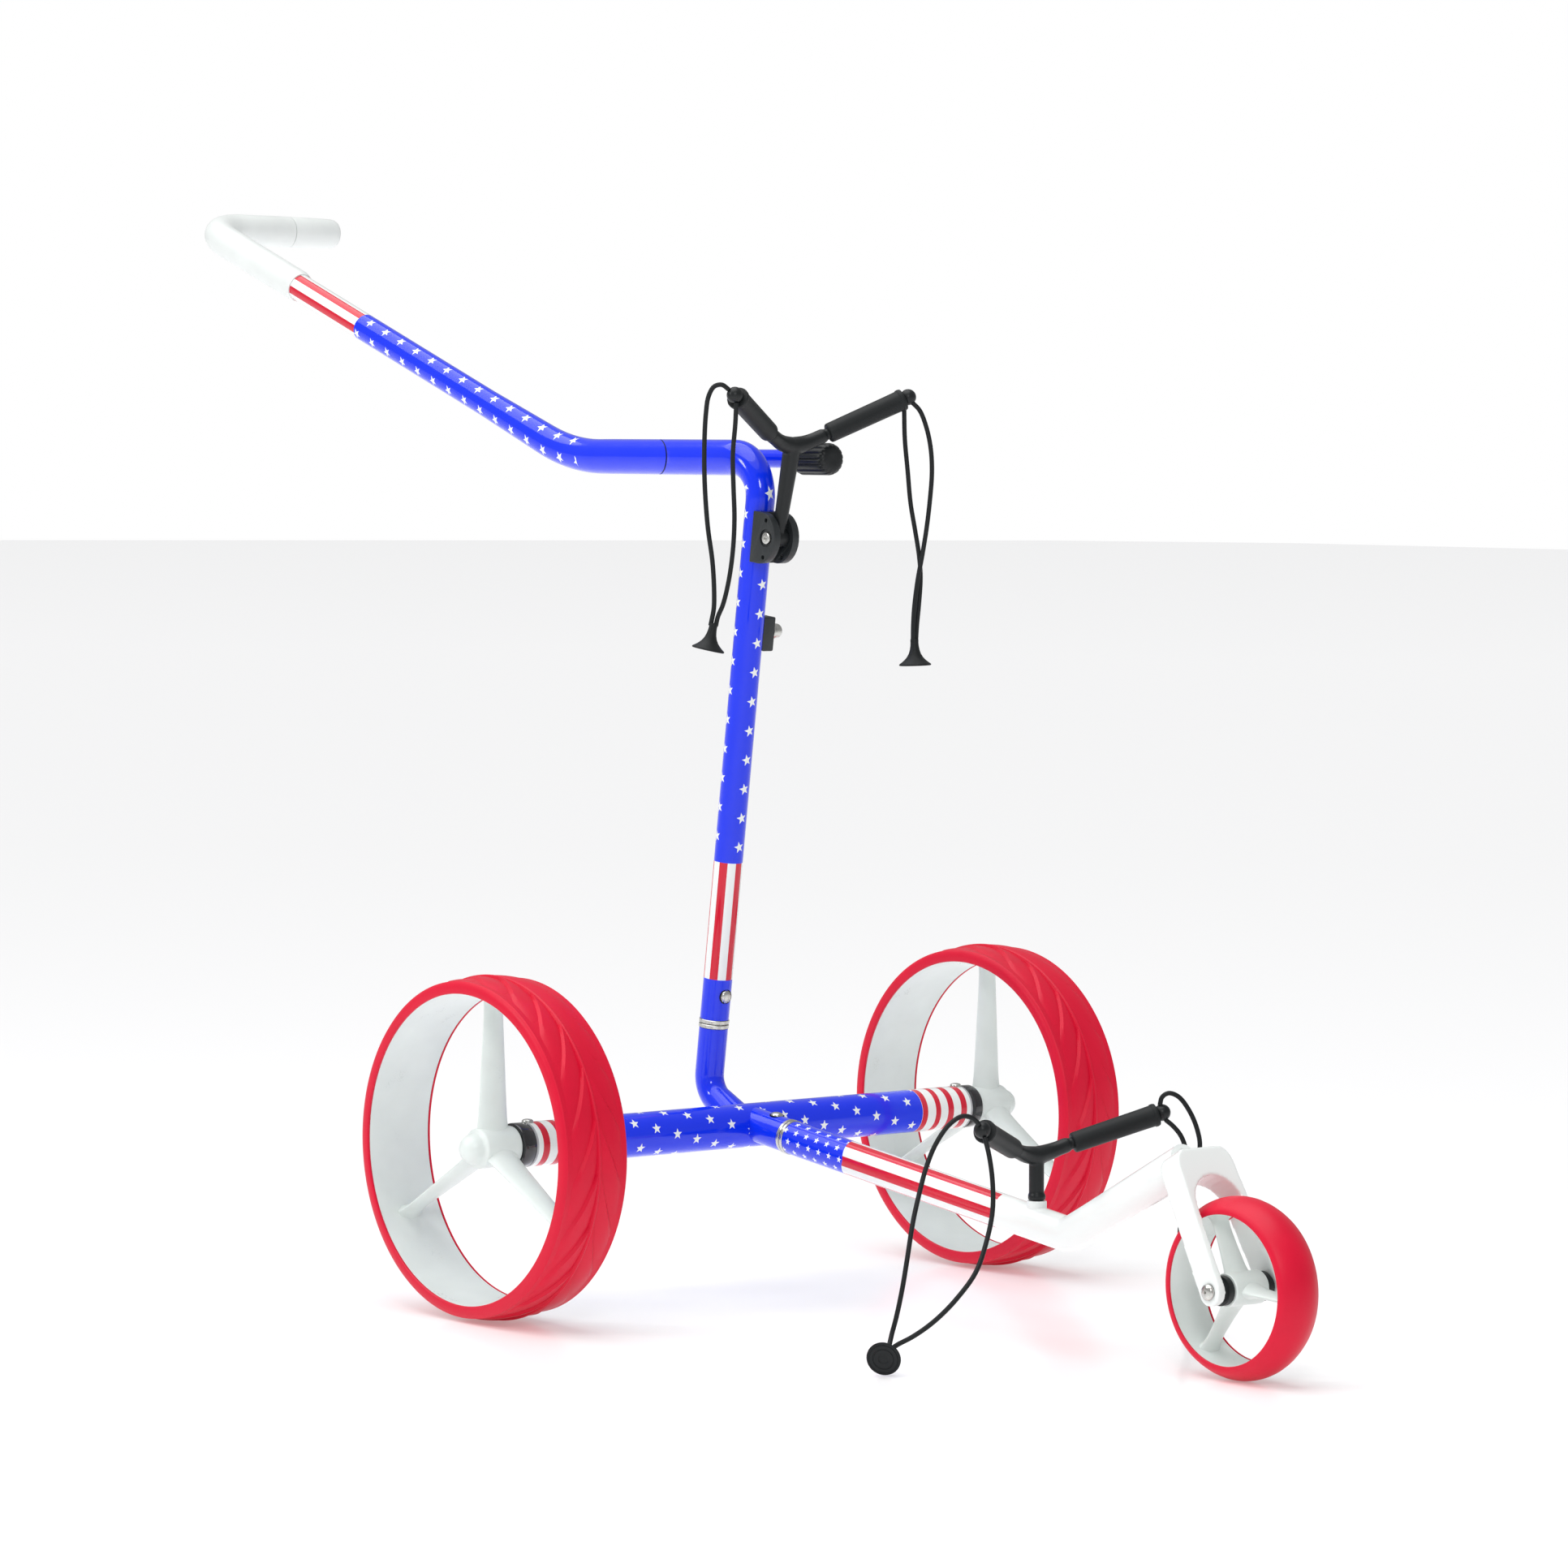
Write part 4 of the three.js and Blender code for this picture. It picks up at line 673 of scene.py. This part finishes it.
plain_blue = lacquer("plain_blue_lacquer")
haze = plain_blue.noise(12.0)
plain_blue.feed("Base Color", plain_blue.mix(haze, blue, (0.004, 0.03, 0.80, 1)))

# The upright leans forward by its lean, and the arm drops toward the front by its fall.
# A plug-in joint's ring is the gap between its collars; each tube ends `joint` from it.
upright_radius, upright_lean, ring_y, ring_z = 12.7, 0.1205, 47.6, 230.5
arm_radius, arm_fall, arm_start_z, joint = 14.6, 0.1325, 147.8, 4.05
upright_dir = Vector((0, -upright_lean, 1)).normalized()
arm_dir = Vector((0, -1, -arm_fall)).normalized()
arm_ring = Vector((0, -58, arm_start_z - arm_fall * 58))


def on_upright(z, x=0):
    """The point of the upright's middle line at a height, or one beside it."""
    return Vector((x, ring_y - upright_lean * (z - ring_z), z))


upright_ring = on_upright(ring_z)
stub = pipe("axle_tube_upright_stub", rounded(
    [(0, 15, 147), on_upright(172), upright_ring - upright_dir * joint], [24]),
    lambda s: upright_radius + 3.2 * math.exp(-max(0, s - 10) / 2.4), (1, 0, 0))
put(stub, plain_blue, "frame", slot="blue_coat")

# ------------------------------------------------------------------ front arm
# One bent tube, plugged into the forward stub. It is filmed with small stars, then with
# long red and white stripes, and ends in white lacquer at the fork.
arm_film = lacquer("front_arm_lacquer")
around, along = film(arm_film)
starry = stars(arm_film, around * 91.7, along, (66, 46), (13.5, 0), (6.75, 9.2), 3.1, 0.3)
bars = arm_film.maths("FRACT", around * 5.25 + 0.1) > 0.5
slanted = along + arm_film.maths("PINGPONG", around, 0.25) * 24
ground = arm_film.mix(starry, blue, white)
ground = arm_film.mix(slanted > 138, ground, arm_film.mix(bars, white, red))
ground = arm_film.mix(slanted > 330, ground, white)
arm_film.feed("Base Color", ground)

forward_stub = pipe("axle_tube_forward_stub", [
    Vector((0, -6, 147.0)), Vector((0, -14, 146)), arm_ring - arm_dir * joint],
    arm_radius, (1, 0, 0))
put(forward_stub, plain_blue, "frame", slot="blue_coat")

arm_rise = 0.5437  # from its knee the arm climbs to the fork by this share of its run
arm_knee = Vector((0, -407, arm_start_z - arm_fall * 407))
arm_end = Vector((0, -541, arm_knee.z + arm_rise * 134))
arm_line = dense(rounded([arm_ring + arm_dir * joint, arm_knee, arm_end], [22]), 12)
arm = pipe("front_arm_tube", arm_line, lambda s: 14.55 + 1.3 * max(0, (s - 380) / 120),
           (1, 0, 0))
for loop in arm.data.uv_layers["wrap"].data:
    loop.uv = (loop.uv[0], loop.uv[1] + 58)
put(arm, arm_film, "frame", "front_arm", slot="white_coat")

# The fork's crown and its two legs are one casting, white like the arm's front end.
white_lacquer = lacquer("white_lacquer")
haze = white_lacquer.noise(14.0)
white_lacquer.feed("Base Color", white_lacquer.mix(
    haze, (0.80, 0.84, 0.825, 1), (0.86, 0.89, 0.88, 1)))


def softened(name, node, voxel, rounds, keep=None):
    """A node's shape with its edges rounded as a casting's are. `keep` cuts it first:
    a point and the direction of the side that goes."""
    mesh = bpy.data.meshes.new(name)
    form = bmesh.new()
    form.from_mesh(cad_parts[node].data)
    bmesh.ops.remove_doubles(form, verts=form.verts, dist=1e-6)
    if keep:
        cut = bmesh.ops.bisect_plane(form, geom=form.verts[:] + form.edges[:] + form.faces[:],
                                     plane_co=keep[0], plane_no=keep[1], clear_outer=True)
        rim = [e for e in cut["geom_cut"] if isinstance(e, bmesh.types.BMEdge)]
        bmesh.ops.triangle_fill(form, edges=rim, use_beauty=True)
    form.to_mesh(mesh)
    form.free()
    source = bpy.data.objects.new(name + "_source", mesh)
    bpy.context.scene.collection.objects.link(source)
    if voxel:
        cast = source.modifiers.new("cast", "REMESH")
        cast.mode, cast.voxel_size = "VOXEL", voxel
        ease = source.modifiers.new("ease", "SMOOTH")
        ease.iterations, ease.factor = rounds, 0.5
    else:
        edge = source.modifiers.new("edge", "BEVEL")
        edge.width, edge.segments, edge.limit_method = rounds, 3, "ANGLE"
        edge.angle_limit = math.radians(40)
    made = settled(source, name)
    made.shade_smooth()
    made.set_sharp_from_angle(angle=math.radians(50))
    return bpy.data.objects.new(name, made)


fork = softened("front_fork", "front_arm", 0.0012, 4,
                (place((0, -512, 150)), (0, 0.88, -0.47)))
put(fork, white_lacquer, "frame", slot="white_coat")
boss = lathe("lower_rest_socket", [(11.5, -14), (9.4, -9), (8.6, -4), (8.2, 2), (8.2, 12.6),
                                   (7.9, 13.2), (6.6, 13.4), (0, 13.4)],
             (0, -367.5, 104.6), (0, 0, 1), 40)
put(boss, white_lacquer, "frame", slot="white_coat")

# ------------------------------------------------------------------ collars and snap buttons
# Pairs of turned steel collars close the two plug-in joints, with a dark gap between.
# A sprung steel button locks each joint; its domed head stands out of the tube.
for node, ring_at, way, tube_r in (("upright", upright_ring, upright_dir, upright_radius),
                                   ("arm", arm_ring, arm_dir, arm_radius)):
    plug = lathe(f"{node}_plug_spigot", [
        (0, -24), (tube_r - 2.4, -24), (tube_r - 2.4, 36), (0, 36)], ring_at, way, 48)
    lower = [(tube_r - 2.2, -3.75), (tube_r, -3.75), (tube_r + 0.5, -3.3), (tube_r + 0.5, -0.8),
             (tube_r + 0.1, -0.35), (tube_r - 2.2, -0.35)]
    upper = [(r, -h) for r, h in reversed(lower)]
    put(plug, turned_steel, "frame", f"{node}_plug", slot="bright_steel")
    for rank, profile in (("lower", lower), ("upper", upper)):
        closed = lathe(f"{node}_collar_{rank}", [
            (0, profile[0][1]), *profile, (0, profile[-1][1])], ring_at, way, 64, 25)
        put(closed, turned_steel, "frame", *([f"{node}_collar"] if rank == "upper" else []),
            slot="bright_steel")
for name, centre, way, tube_r in (
        ("upright", upright_ring + upright_dir * 25.5,
         Vector((0, -1, -upright_lean)).normalized(), upright_radius),
        ("arm", arm_ring - arm_dir * 21.5,
         Vector((0, -arm_fall, 1)).normalized(), arm_radius)):
    button = lathe(f"{name}_snap_button_head", [
        (0, 5.8), (5.6, 5.8), (5.6, tube_r - 0.4), (5.3, tube_r + 0.7), (4.4, tube_r + 1.6),
        (3, tube_r + 2.1), (1.4, tube_r + 2.35), (0, tube_r + 2.4)], centre, way, 36, 60)
    put(button, turned_steel, f"{name}_button", f"{name}_snap_button", slot="bright_steel")
    # A thin black ring round each button's head, in the black rubber finish, is painted shade for
    # the gap in the tube's hole round the button.
    rim = lathe(f"{name}_button_hole_shade", [(0, tube_r - 1.2), (6.3, tube_r - 1.2),
                                        (6.5, tube_r - 0.1),
                                        (6.3, tube_r + 0.05), (5.75, tube_r - 0.1),
                                        (0, tube_r - 0.3)],
                centre, way, 36)
    put(rim, black_rubber, "frame")

# ------------------------------------------------------------------ axle end rings
# Gloss black plastic rings close the axle tube. A steel stud on top of the tube's end
# lets a wheel go when it is pressed.
black_gloss = moulded("black_gloss", (0.008, 0.008, 0.011, 1), 0.14, 300.0, 0.00003,
                      Coat_Weight=0.5, Coat_Roughness=0.05)
for side, sign in sides:
    ring = lathe(f"end_ring_{side}_cap", [
        (0, 215), (16, 215), (16, 246.9), (17.6, 247), (18.6, 247.3), (19, 248), (19, 258.6),
        (18.6, 259.6),
        (17.6, 260), (12, 260), (11.2, 259.6), (10.6, 257.4), (0, 257)],
        (0, 0, axle_height), (sign, 0, 0), 64, 40)
    put(ring, black_gloss, "frame", f"end_ring_{side}", slot="black_gloss")
    button = lathe(f"release_stud_{side}_head", [
        (0, 8.6), (5, 8.6), (5, 19.4), (4.7, 20.4), (3.8, 21.1), (2.2, 21.5), (0, 21.6)],
        (sign * 243, 0, axle_height), (0, 0, 1), 36, 60)
    put(button, turned_steel, f"release_{side}", f"release_stud_{side}", slot="bright_steel")

# ------------------------------------------------------------------ upright
# One steel tube, bent back at the top, where it grows into the thicker level run. Its film
# is plain blue at the foot, then long red and white stripes, then stars.
upright_film = lacquer("upright_lacquer")
around, along = film(upright_film)
starry = stars(upright_film, around * 79.8, along, (153.9, 60), (25.6, 0), (-7.9, 24.3), 5.2, 0.25)
bars = upright_film.maths("FRACT", around * 5.25 + 0.673) > 0.5
ground = upright_film.mix(starry * along.between(143, 470), blue, white)
ground = upright_film.mix(along.between(36, 139.5), ground, upright_film.mix(bars, white, red))
upright_film.feed("Base Color", ground)
run_height = 724  # of the level run's middle line
bend_line = rounded([upright_ring + upright_dir * joint, on_upright(run_height),
                     (0, 165, run_height)], [34], 20)
upright_line = dense(bend_line, 14)


def upright_size(s):
    grown = min(max((s - 462) / 50, 0), 1)
    return upright_radius + 2.8 * grown * grown * (3 - 2 * grown)


def trimmed(thing, centre, way, keep_far):
    """Cuts a closed piece at a plane, fills the cut, and keeps one side of it."""
    form = bmesh.new()
    form.from_mesh(thing.data)
    bmesh.ops.bisect_plane(form, geom=form.verts[:] + form.edges[:] + form.faces[:],
                           plane_co=centre, plane_no=way, clear_inner=keep_far,
                           clear_outer=not keep_far)
    bmesh.ops.holes_fill(form, edges=[e for e in form.edges if e.is_boundary])
    form.to_mesh(thing.data)
    form.free()
    thing.data.shade_smooth()
    thing.data.set_sharp_from_angle(angle=math.radians(35))


seam_y, seam_way = 131.2, Vector((-1.9, 1, 0)).normalized()


def at_seam(off):
    """A point on the slanted joint's cut, moved back along the level run."""
    return place((0, seam_y + off, run_height))


upright_tube = pipe("upright_tube_skin", upright_line, upright_size, (1, 0, 0))
trimmed(upright_tube, at_seam(-0.95), seam_way, False)
put(upright_tube, upright_film, "frame", "upright_tube", slot="blue_coat")

# ------------------------------------------------------------------ handle
# The handle plugs into the level run at a slanted joint with a thin rubber ring in it. It
# is filmed with stars, and with stripes up to the grip, which is a soft white sleeve and cap.
gasket = pipe("handle_gasket_ring", [Vector((0, y, run_height)) for y in (90, 175)], 15.1,
              (1, 0, 0))
trimmed(gasket, at_seam(-1.2), seam_way, True)
trimmed(gasket, at_seam(1.2), seam_way, False)
put(gasket, black_rubber, "handle", "handle_gasket", "handle_plug", slot="black_rubber")

handle_film = lacquer("handle_lacquer")
around, along = film(handle_film)
starry = stars(handle_film, around * 79.2, along, (478.3, 51.5), (25.4, 0), (11.7, -16.9), 5.2,
               0.25)
bars = handle_film.maths("FRACT", around * 5.25 + 0.25) > 0.5
ground = handle_film.mix(starry * (along > 135), blue, white)
ground = handle_film.mix(along > 495, ground, handle_film.mix(bars, white, red))
handle_film.feed("Base Color", ground)
# The handle climbs from its bend at this slope, up to the grip, which lies across.
handle_bend_y, handle_slope, grip_height = 252.8, 0.376, 942
grip_y = handle_bend_y + (grip_height - run_height) / handle_slope
handle_line = dense(rounded([(0, 95, run_height), (0, handle_bend_y, run_height),
                             (0, grip_y, grip_height), (150, grip_y, grip_height)],
                            [228, 40], 18), 16)


def handle_size(s):
    thinned = min(max((s - 110) / 185, 0), 1)
    return 15.5 - 2.9 * thinned


handle_tube = pipe("handle_tube_skin", handle_line, handle_size, (1, 0, 0))
trimmed(handle_tube, at_seam(0.95), seam_way, True)
put(handle_tube, handle_film, "handle", "handle_tube", slot="blue_coat")

soft_white = moulded("soft_white_grip", (0.82, 0.855, 0.84, 1), 0.34, 800.0, 0.00008,
                     Subsurface_Weight=0.1, Subsurface_Radius=(0.004, 0.004, 0.004))
grip_foot_y = 672.7
grip_foot = Vector((0, grip_foot_y, run_height + (grip_foot_y - handle_bend_y) * handle_slope))
grip_line = dense(rounded([grip_foot, (0, grip_y, grip_height), (98.6, grip_y, grip_height)],
                          [40], 20), 6)
sleeve = pipe("grip_sleeve_skin", grip_line, lambda s: 15.2 - 1.4 * math.exp(-s), (1, 0, 0))
put(sleeve, soft_white, "handle", "grip_sleeve", slot="white_grip")
cap = lathe("grip_cap_skin", [
    (14.2, 99.3), (15.0, 99.5), (15.2, 100.2), (15.0, 120), (14.7, 140), (14.35, 149),
    (13.9, 151.6),
    (12.6, 153.9), (10.4, 155.4), (7.6, 155.9), (0, 156)], (0, grip_y, grip_height), (1, 0, 0),
    56, 60)
put(cap, soft_white, "handle", "grip_cap", slot="white_grip")

# ------------------------------------------------------------------ clamp arm and hand knob
# A side arm welded to the level run, with a fluted black hand knob screwed into its end.
clamp_x, clamp_height = 44, 723.4
clamp = pipe("clamp_arm_skin", dense(rounded([
    (14, 76, clamp_height), (clamp_x, 76, clamp_height), (clamp_x, -8, clamp_height)],
    [15]), 12), 8, (0, 0, 1), 40)
put(clamp, plain_blue, "frame", "clamp_arm", slot="blue_coat")
black_plastic = moulded("black_plastic", (0.009, 0.011, 0.012, 1), 0.38, 650.0, 0.0001,
                        Specular_IOR_Level=0.3)
knob_rings = []
for out, size, deep in ((0, 8.4, 0), (0.2, 9.4, 0), (4.6, 13.5, 0.2), (6.2, 14, 1), (10, 14, 1),
                        (24, 14, 1), (37, 14, 1), (40, 13.6, 0.8), (42.2, 12.6, 0.4),
                        (43.8, 10.8, 0.1), (44.5, 8.6, 0), (44.7, 5, 0), (44.5, 2, 0)):
    knob_rings.append([Vector((
        clamp_x + r * math.cos(a), -8.3 - out, clamp_height + r * math.sin(a)))
        for a, r in ((a, size - deep * 1.3 * max(0, math.cos(16 * a)) ** 1.5)
                     for a in (math.tau * j / 192 for j in range(192)))])
knob = shell("clamp_knob_skin", knob_rings, sharp=45)
put(knob, black_plastic, "knob", "clamp_knob", slot="black_plastic")

# ------------------------------------------------------------------ bag rests
# Each rest is a cast fork of round bar with a ball at each tip and thick rubber sleeves on
# its arms. The upper one hangs in a hinge on the upright, the lower one in a socket.


def fused(name, parts, voxel):
    """Several closed shapes cast as one, with soft joins between them."""
    form = bmesh.new()
    for part in parts:
        form.from_mesh(part.data)
        bpy.data.objects.remove(part)
    mesh = bpy.data.meshes.new(name)
    form.to_mesh(mesh)
    form.free()
    source = bpy.data.objects.new(name + "_source", mesh)
    bpy.context.scene.collection.objects.link(source)
    cast = source.modifiers.new("cast", "REMESH")
    cast.mode, cast.voxel_size = "VOXEL", voxel
    ease = source.modifiers.new("ease", "SMOOTH")
    ease.iterations, ease.factor = 4, 0.5
    made = settled(source, name)
    made.shade_smooth()
    return bpy.data.objects.new(name, made)


rests = {
    "upper": {"foot": (0, -31.55, 655), "crotch": (0, -49, 734), "saddle": (13, -50.6, 736.6),
              "shoulder": (28, -55.1, 742.8), "tip": (95.5, -85.7, 776.1)},
    "lower": {"foot": (0, -367.5, 95), "crotch": (0, -366.5, 154.5), "saddle": (13, -367, 156.8),
              "shoulder": (28, -371.3, 161.7), "tip": (98.5, -407.6, 186.5)},
}
left_reach = 3.4  # how much longer the left arms are
for where, points in rests.items():
    foot, crotch = Vector(points["foot"]), Vector(points["crotch"])
    if where == "upper":
        parts = [pipe("stem", [foot, crotch], lambda s: 5.4 + s * 0.03, (1, 0, 0), 32),
                 lathe("eye", [(0, -6.6), (7.5, -6.6), (7.5, 6.6), (0, 6.6)],
                       foot, (1, 0, 0), 40)]
    else:
        parts = [pipe("stem", dense([foot, crotch], 3), lambda s: 5.2 if s < 23.6 else 6.3,
                      (1, 0, 0), 32),
                 lathe("foot", [(0, 24), (7.3, 24), (7.3, 27.6), (6.3, 28.8), (0, 29)],
                       foot, (0, 0, 1), 32)]
    for sign in (-1, 1):
        saddle, shoulder, tip = (Vector((sign * points[k][0], *points[k][1:]))
                                 for k in ("saddle", "shoulder", "tip"))
        tip += (tip - shoulder).normalized() * (left_reach if sign > 0 else 0)
        parts.append(pipe("arm", eased([crotch, saddle, shoulder]),
                          lambda s: 8.0 - 1.7 * min(1, s / 22), (0, 1, 0), 32))
        parts.append(pipe("pin", [shoulder, tip], 5.0, (0, 1, 0), 28))
        for at, size in ((shoulder, 6.3), (tip, 7.1)):
            ball = [(size * math.sin(math.pi * k / 16), -size * math.cos(math.pi * k / 16))
                    for k in range(17)]
            parts.append(lathe("ball", ball, at, tip - shoulder, 32))
    yoke = fused(f"{where}_yoke_casting", parts, 0.0008)
    nodes = [f"{where}_yoke"] + ([f"{where}_yoke_barrel"] if where == "upper" else [])
    put(yoke, black_plastic, f"{where}_rest", *nodes, slot="black_plastic")
    for side, sign in sides:
        shoulder, tip = (Vector((sign * points[k][0], *points[k][1:])) for k in ("shoulder",
            "tip"))
        reach = (tip - shoulder).length + (left_reach if sign > 0 else 0)
        sleeve = lathe(f"{where}_sleeve_{side}_skin", [
            (5.0, 6.4), (7.6, 6.5), (8.3, 7.1), (8.55, 8.4), (8.6, 14), (8.85, reach - 19),
            (9.0, reach - 9.4), (9.05, reach - 9.0), (9.6, reach - 8.4), (9.7, reach - 6.4),
            (9.3, reach - 5.0), (7.6, reach - 4.5), (5.0, reach - 4.4)],
            shoulder, tip - shoulder, 56, 50)
        put(sleeve, black_rubber, f"{where}_rest", f"{where}_sleeve_{side}", slot="black_rubber")

# ------------------------------------------------------------------ hinge and catch
# A grained plastic hinge block with two D-shaped cheeks is screwed to the upright. Lower
# down a small block carries a round steel stud, which catches the frame when it is folded.
grained = moulded("grained_plastic", (0.018, 0.022, 0.024, 1), 0.42, 420.0, 0.0004,
                  Specular_IOR_Level=0.4)
cheeks = softened("clevis_block_skin", "clevis_block", 0, 0.0011)
put(cheeks, grained, "frame", "clevis_block", slot="black_plastic")
pivot = Vector(rests["upper"]["foot"])
for side, sign in sides:
    head = lathe(f"pivot_bolt_{side}_head", [
        (0, 0), (5.2, 12.2), (5.3, 13.4), (4.9, 14.1), (4.2, 14.4), (2.2, 14.5), (1.9, 14.3),
        (1.7, 13.3),
        (0, 13)], pivot, (sign, 0, 0), 40)
    put(head, turned_steel, "frame", *(["pivot_bolt"] if side == "right" else []),
        slot="bright_steel")
block = softened("catch_block_skin", "catch_block", 0, 0.0012)
put(block, grained, "frame", "catch_block", slot="black_plastic")
catch_low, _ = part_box("catch_stud")
catch_at = on_upright(574, catch_low.x * 1000)
stud = lathe("catch_stud_head", [
    (0, 0), (7.7, 0), (7.7, 2.7), (7.4, 3), (6.6, 3.1), (6.5, 7.6), (6.2, 9.2), (5.2, 10.6),
    (3.4, 11.2),
    (1.4, 11.4), (0, 11.4)], catch_at, (1, 0, 0), 44, 40)
put(stud, turned_steel, "frame", "catch_stud", slot="bright_steel")

# ------------------------------------------------------------------ front wheel
# A small moulded wheel with a smooth red tyre, on a steel axle between black spacers. A
# pan-head screw closes each end of the axle.
low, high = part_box("front_tyre")
centre = (low + high) / 2
section = [(60.1, -19.3), (59.9, -20.6), (60.6, -21.2), (62.6, -21.3), (64.6, -20.4),
           (66.4, -18.6),
           (68.6, -15.2), (70.6, -11.4), (72.1, -7.4), (72.9, -3.6)]
section += [(73.1, 0)] + [(r, -x) for r, x in reversed(section)] + [(63.2, 19.1), (63.2, -19.1)]
tyre = wheel_lathe("front_tyre_skin", section, centre, 144)
put(tyre, red_rubber, "front_wheel", "front_tyre", slot="red_tread")
drum = wheel_lathe("front_rim_drum", [
    (60.4, -18.9), (60.9, -19.2), (62.8, -19.2), (62.8, 19.2), (60.9, 19.2), (60.4, 18.9),
    (61.0, 12),
    (61.4, 0), (61.0, -12)], centre, 128)
put(drum, white_nylon, "front_wheel", "front_rim", slot="white_plastic")
blades = blade(11, 61.6, 25, 8.5, 0.62)
blades.transform(Matrix.Rotation(math.radians(64), 4, "X"))
spokes = repeated("front_rim_spokes", blades, 3, white_nylon, centre)
put(spokes, white_nylon, "front_wheel", slot="white_plastic")
middle = (0, centre.y * 1000 - axle_y * 1000, centre.z * 1000)
hub = lathe("front_rim_hub", [(8.4, -17.6), (9, -18), (12.9, -18), (13.5, -17.3), (13.5, 17.3),
                              (12.9, 18),
                              (9, 18), (8.4, 17.6), (0, 17.6)], middle, (1, 0, 0))
put(hub, white_nylon, "front_wheel", slot="white_plastic")
race = lathe("front_bearing_case", [(0, -18.1), (8.2, -18.1), (8.4, -17.9), (8.4, 17.9),
                                    (8.2, 18.1), (0, 18.1)],
             middle, (1, 0, 0), 48)
put(race, turned_steel, "front_wheel", "front_bearing", slot="bright_steel")
axle = lathe("front_axle_bar", [(0, -35.5), (5, -35.5), (5, 35.5), (0, 35.5)], middle, (1, 0, 0),
             40)
put(axle, turned_steel, "frame", "front_axle", slot="dark_steel")
for side, sign in sides:
    washer = lathe(f"front_spacer_{side}_skin", [
        (0, 18.5), (10.8, 18.5), (11.8, 19), (12, 20), (12, 24.4), (10, 25), (9.4, 27.9),
        (0, 27.9)],
        middle, (sign, 0, 0), 48)
    put(washer, black_plastic, "frame", f"front_spacer_{side}", slot="black_plastic")
    screw = lathe(f"axle_screw_{side}_head", [
        (0, 30), (2.3, 30), (2.3, 36.5), (6.4, 36.6), (6.5, 37.4), (6.2, 38.6), (5, 39.6),
        (3.2, 40.1),
        (1.1, 40.2), (0.9, 38.8), (0, 38.7)], middle, (sign, 0, 0), 40, 40)
    put(screw, turned_steel, "frame", f"axle_screw_{side}", slot="bright_steel")
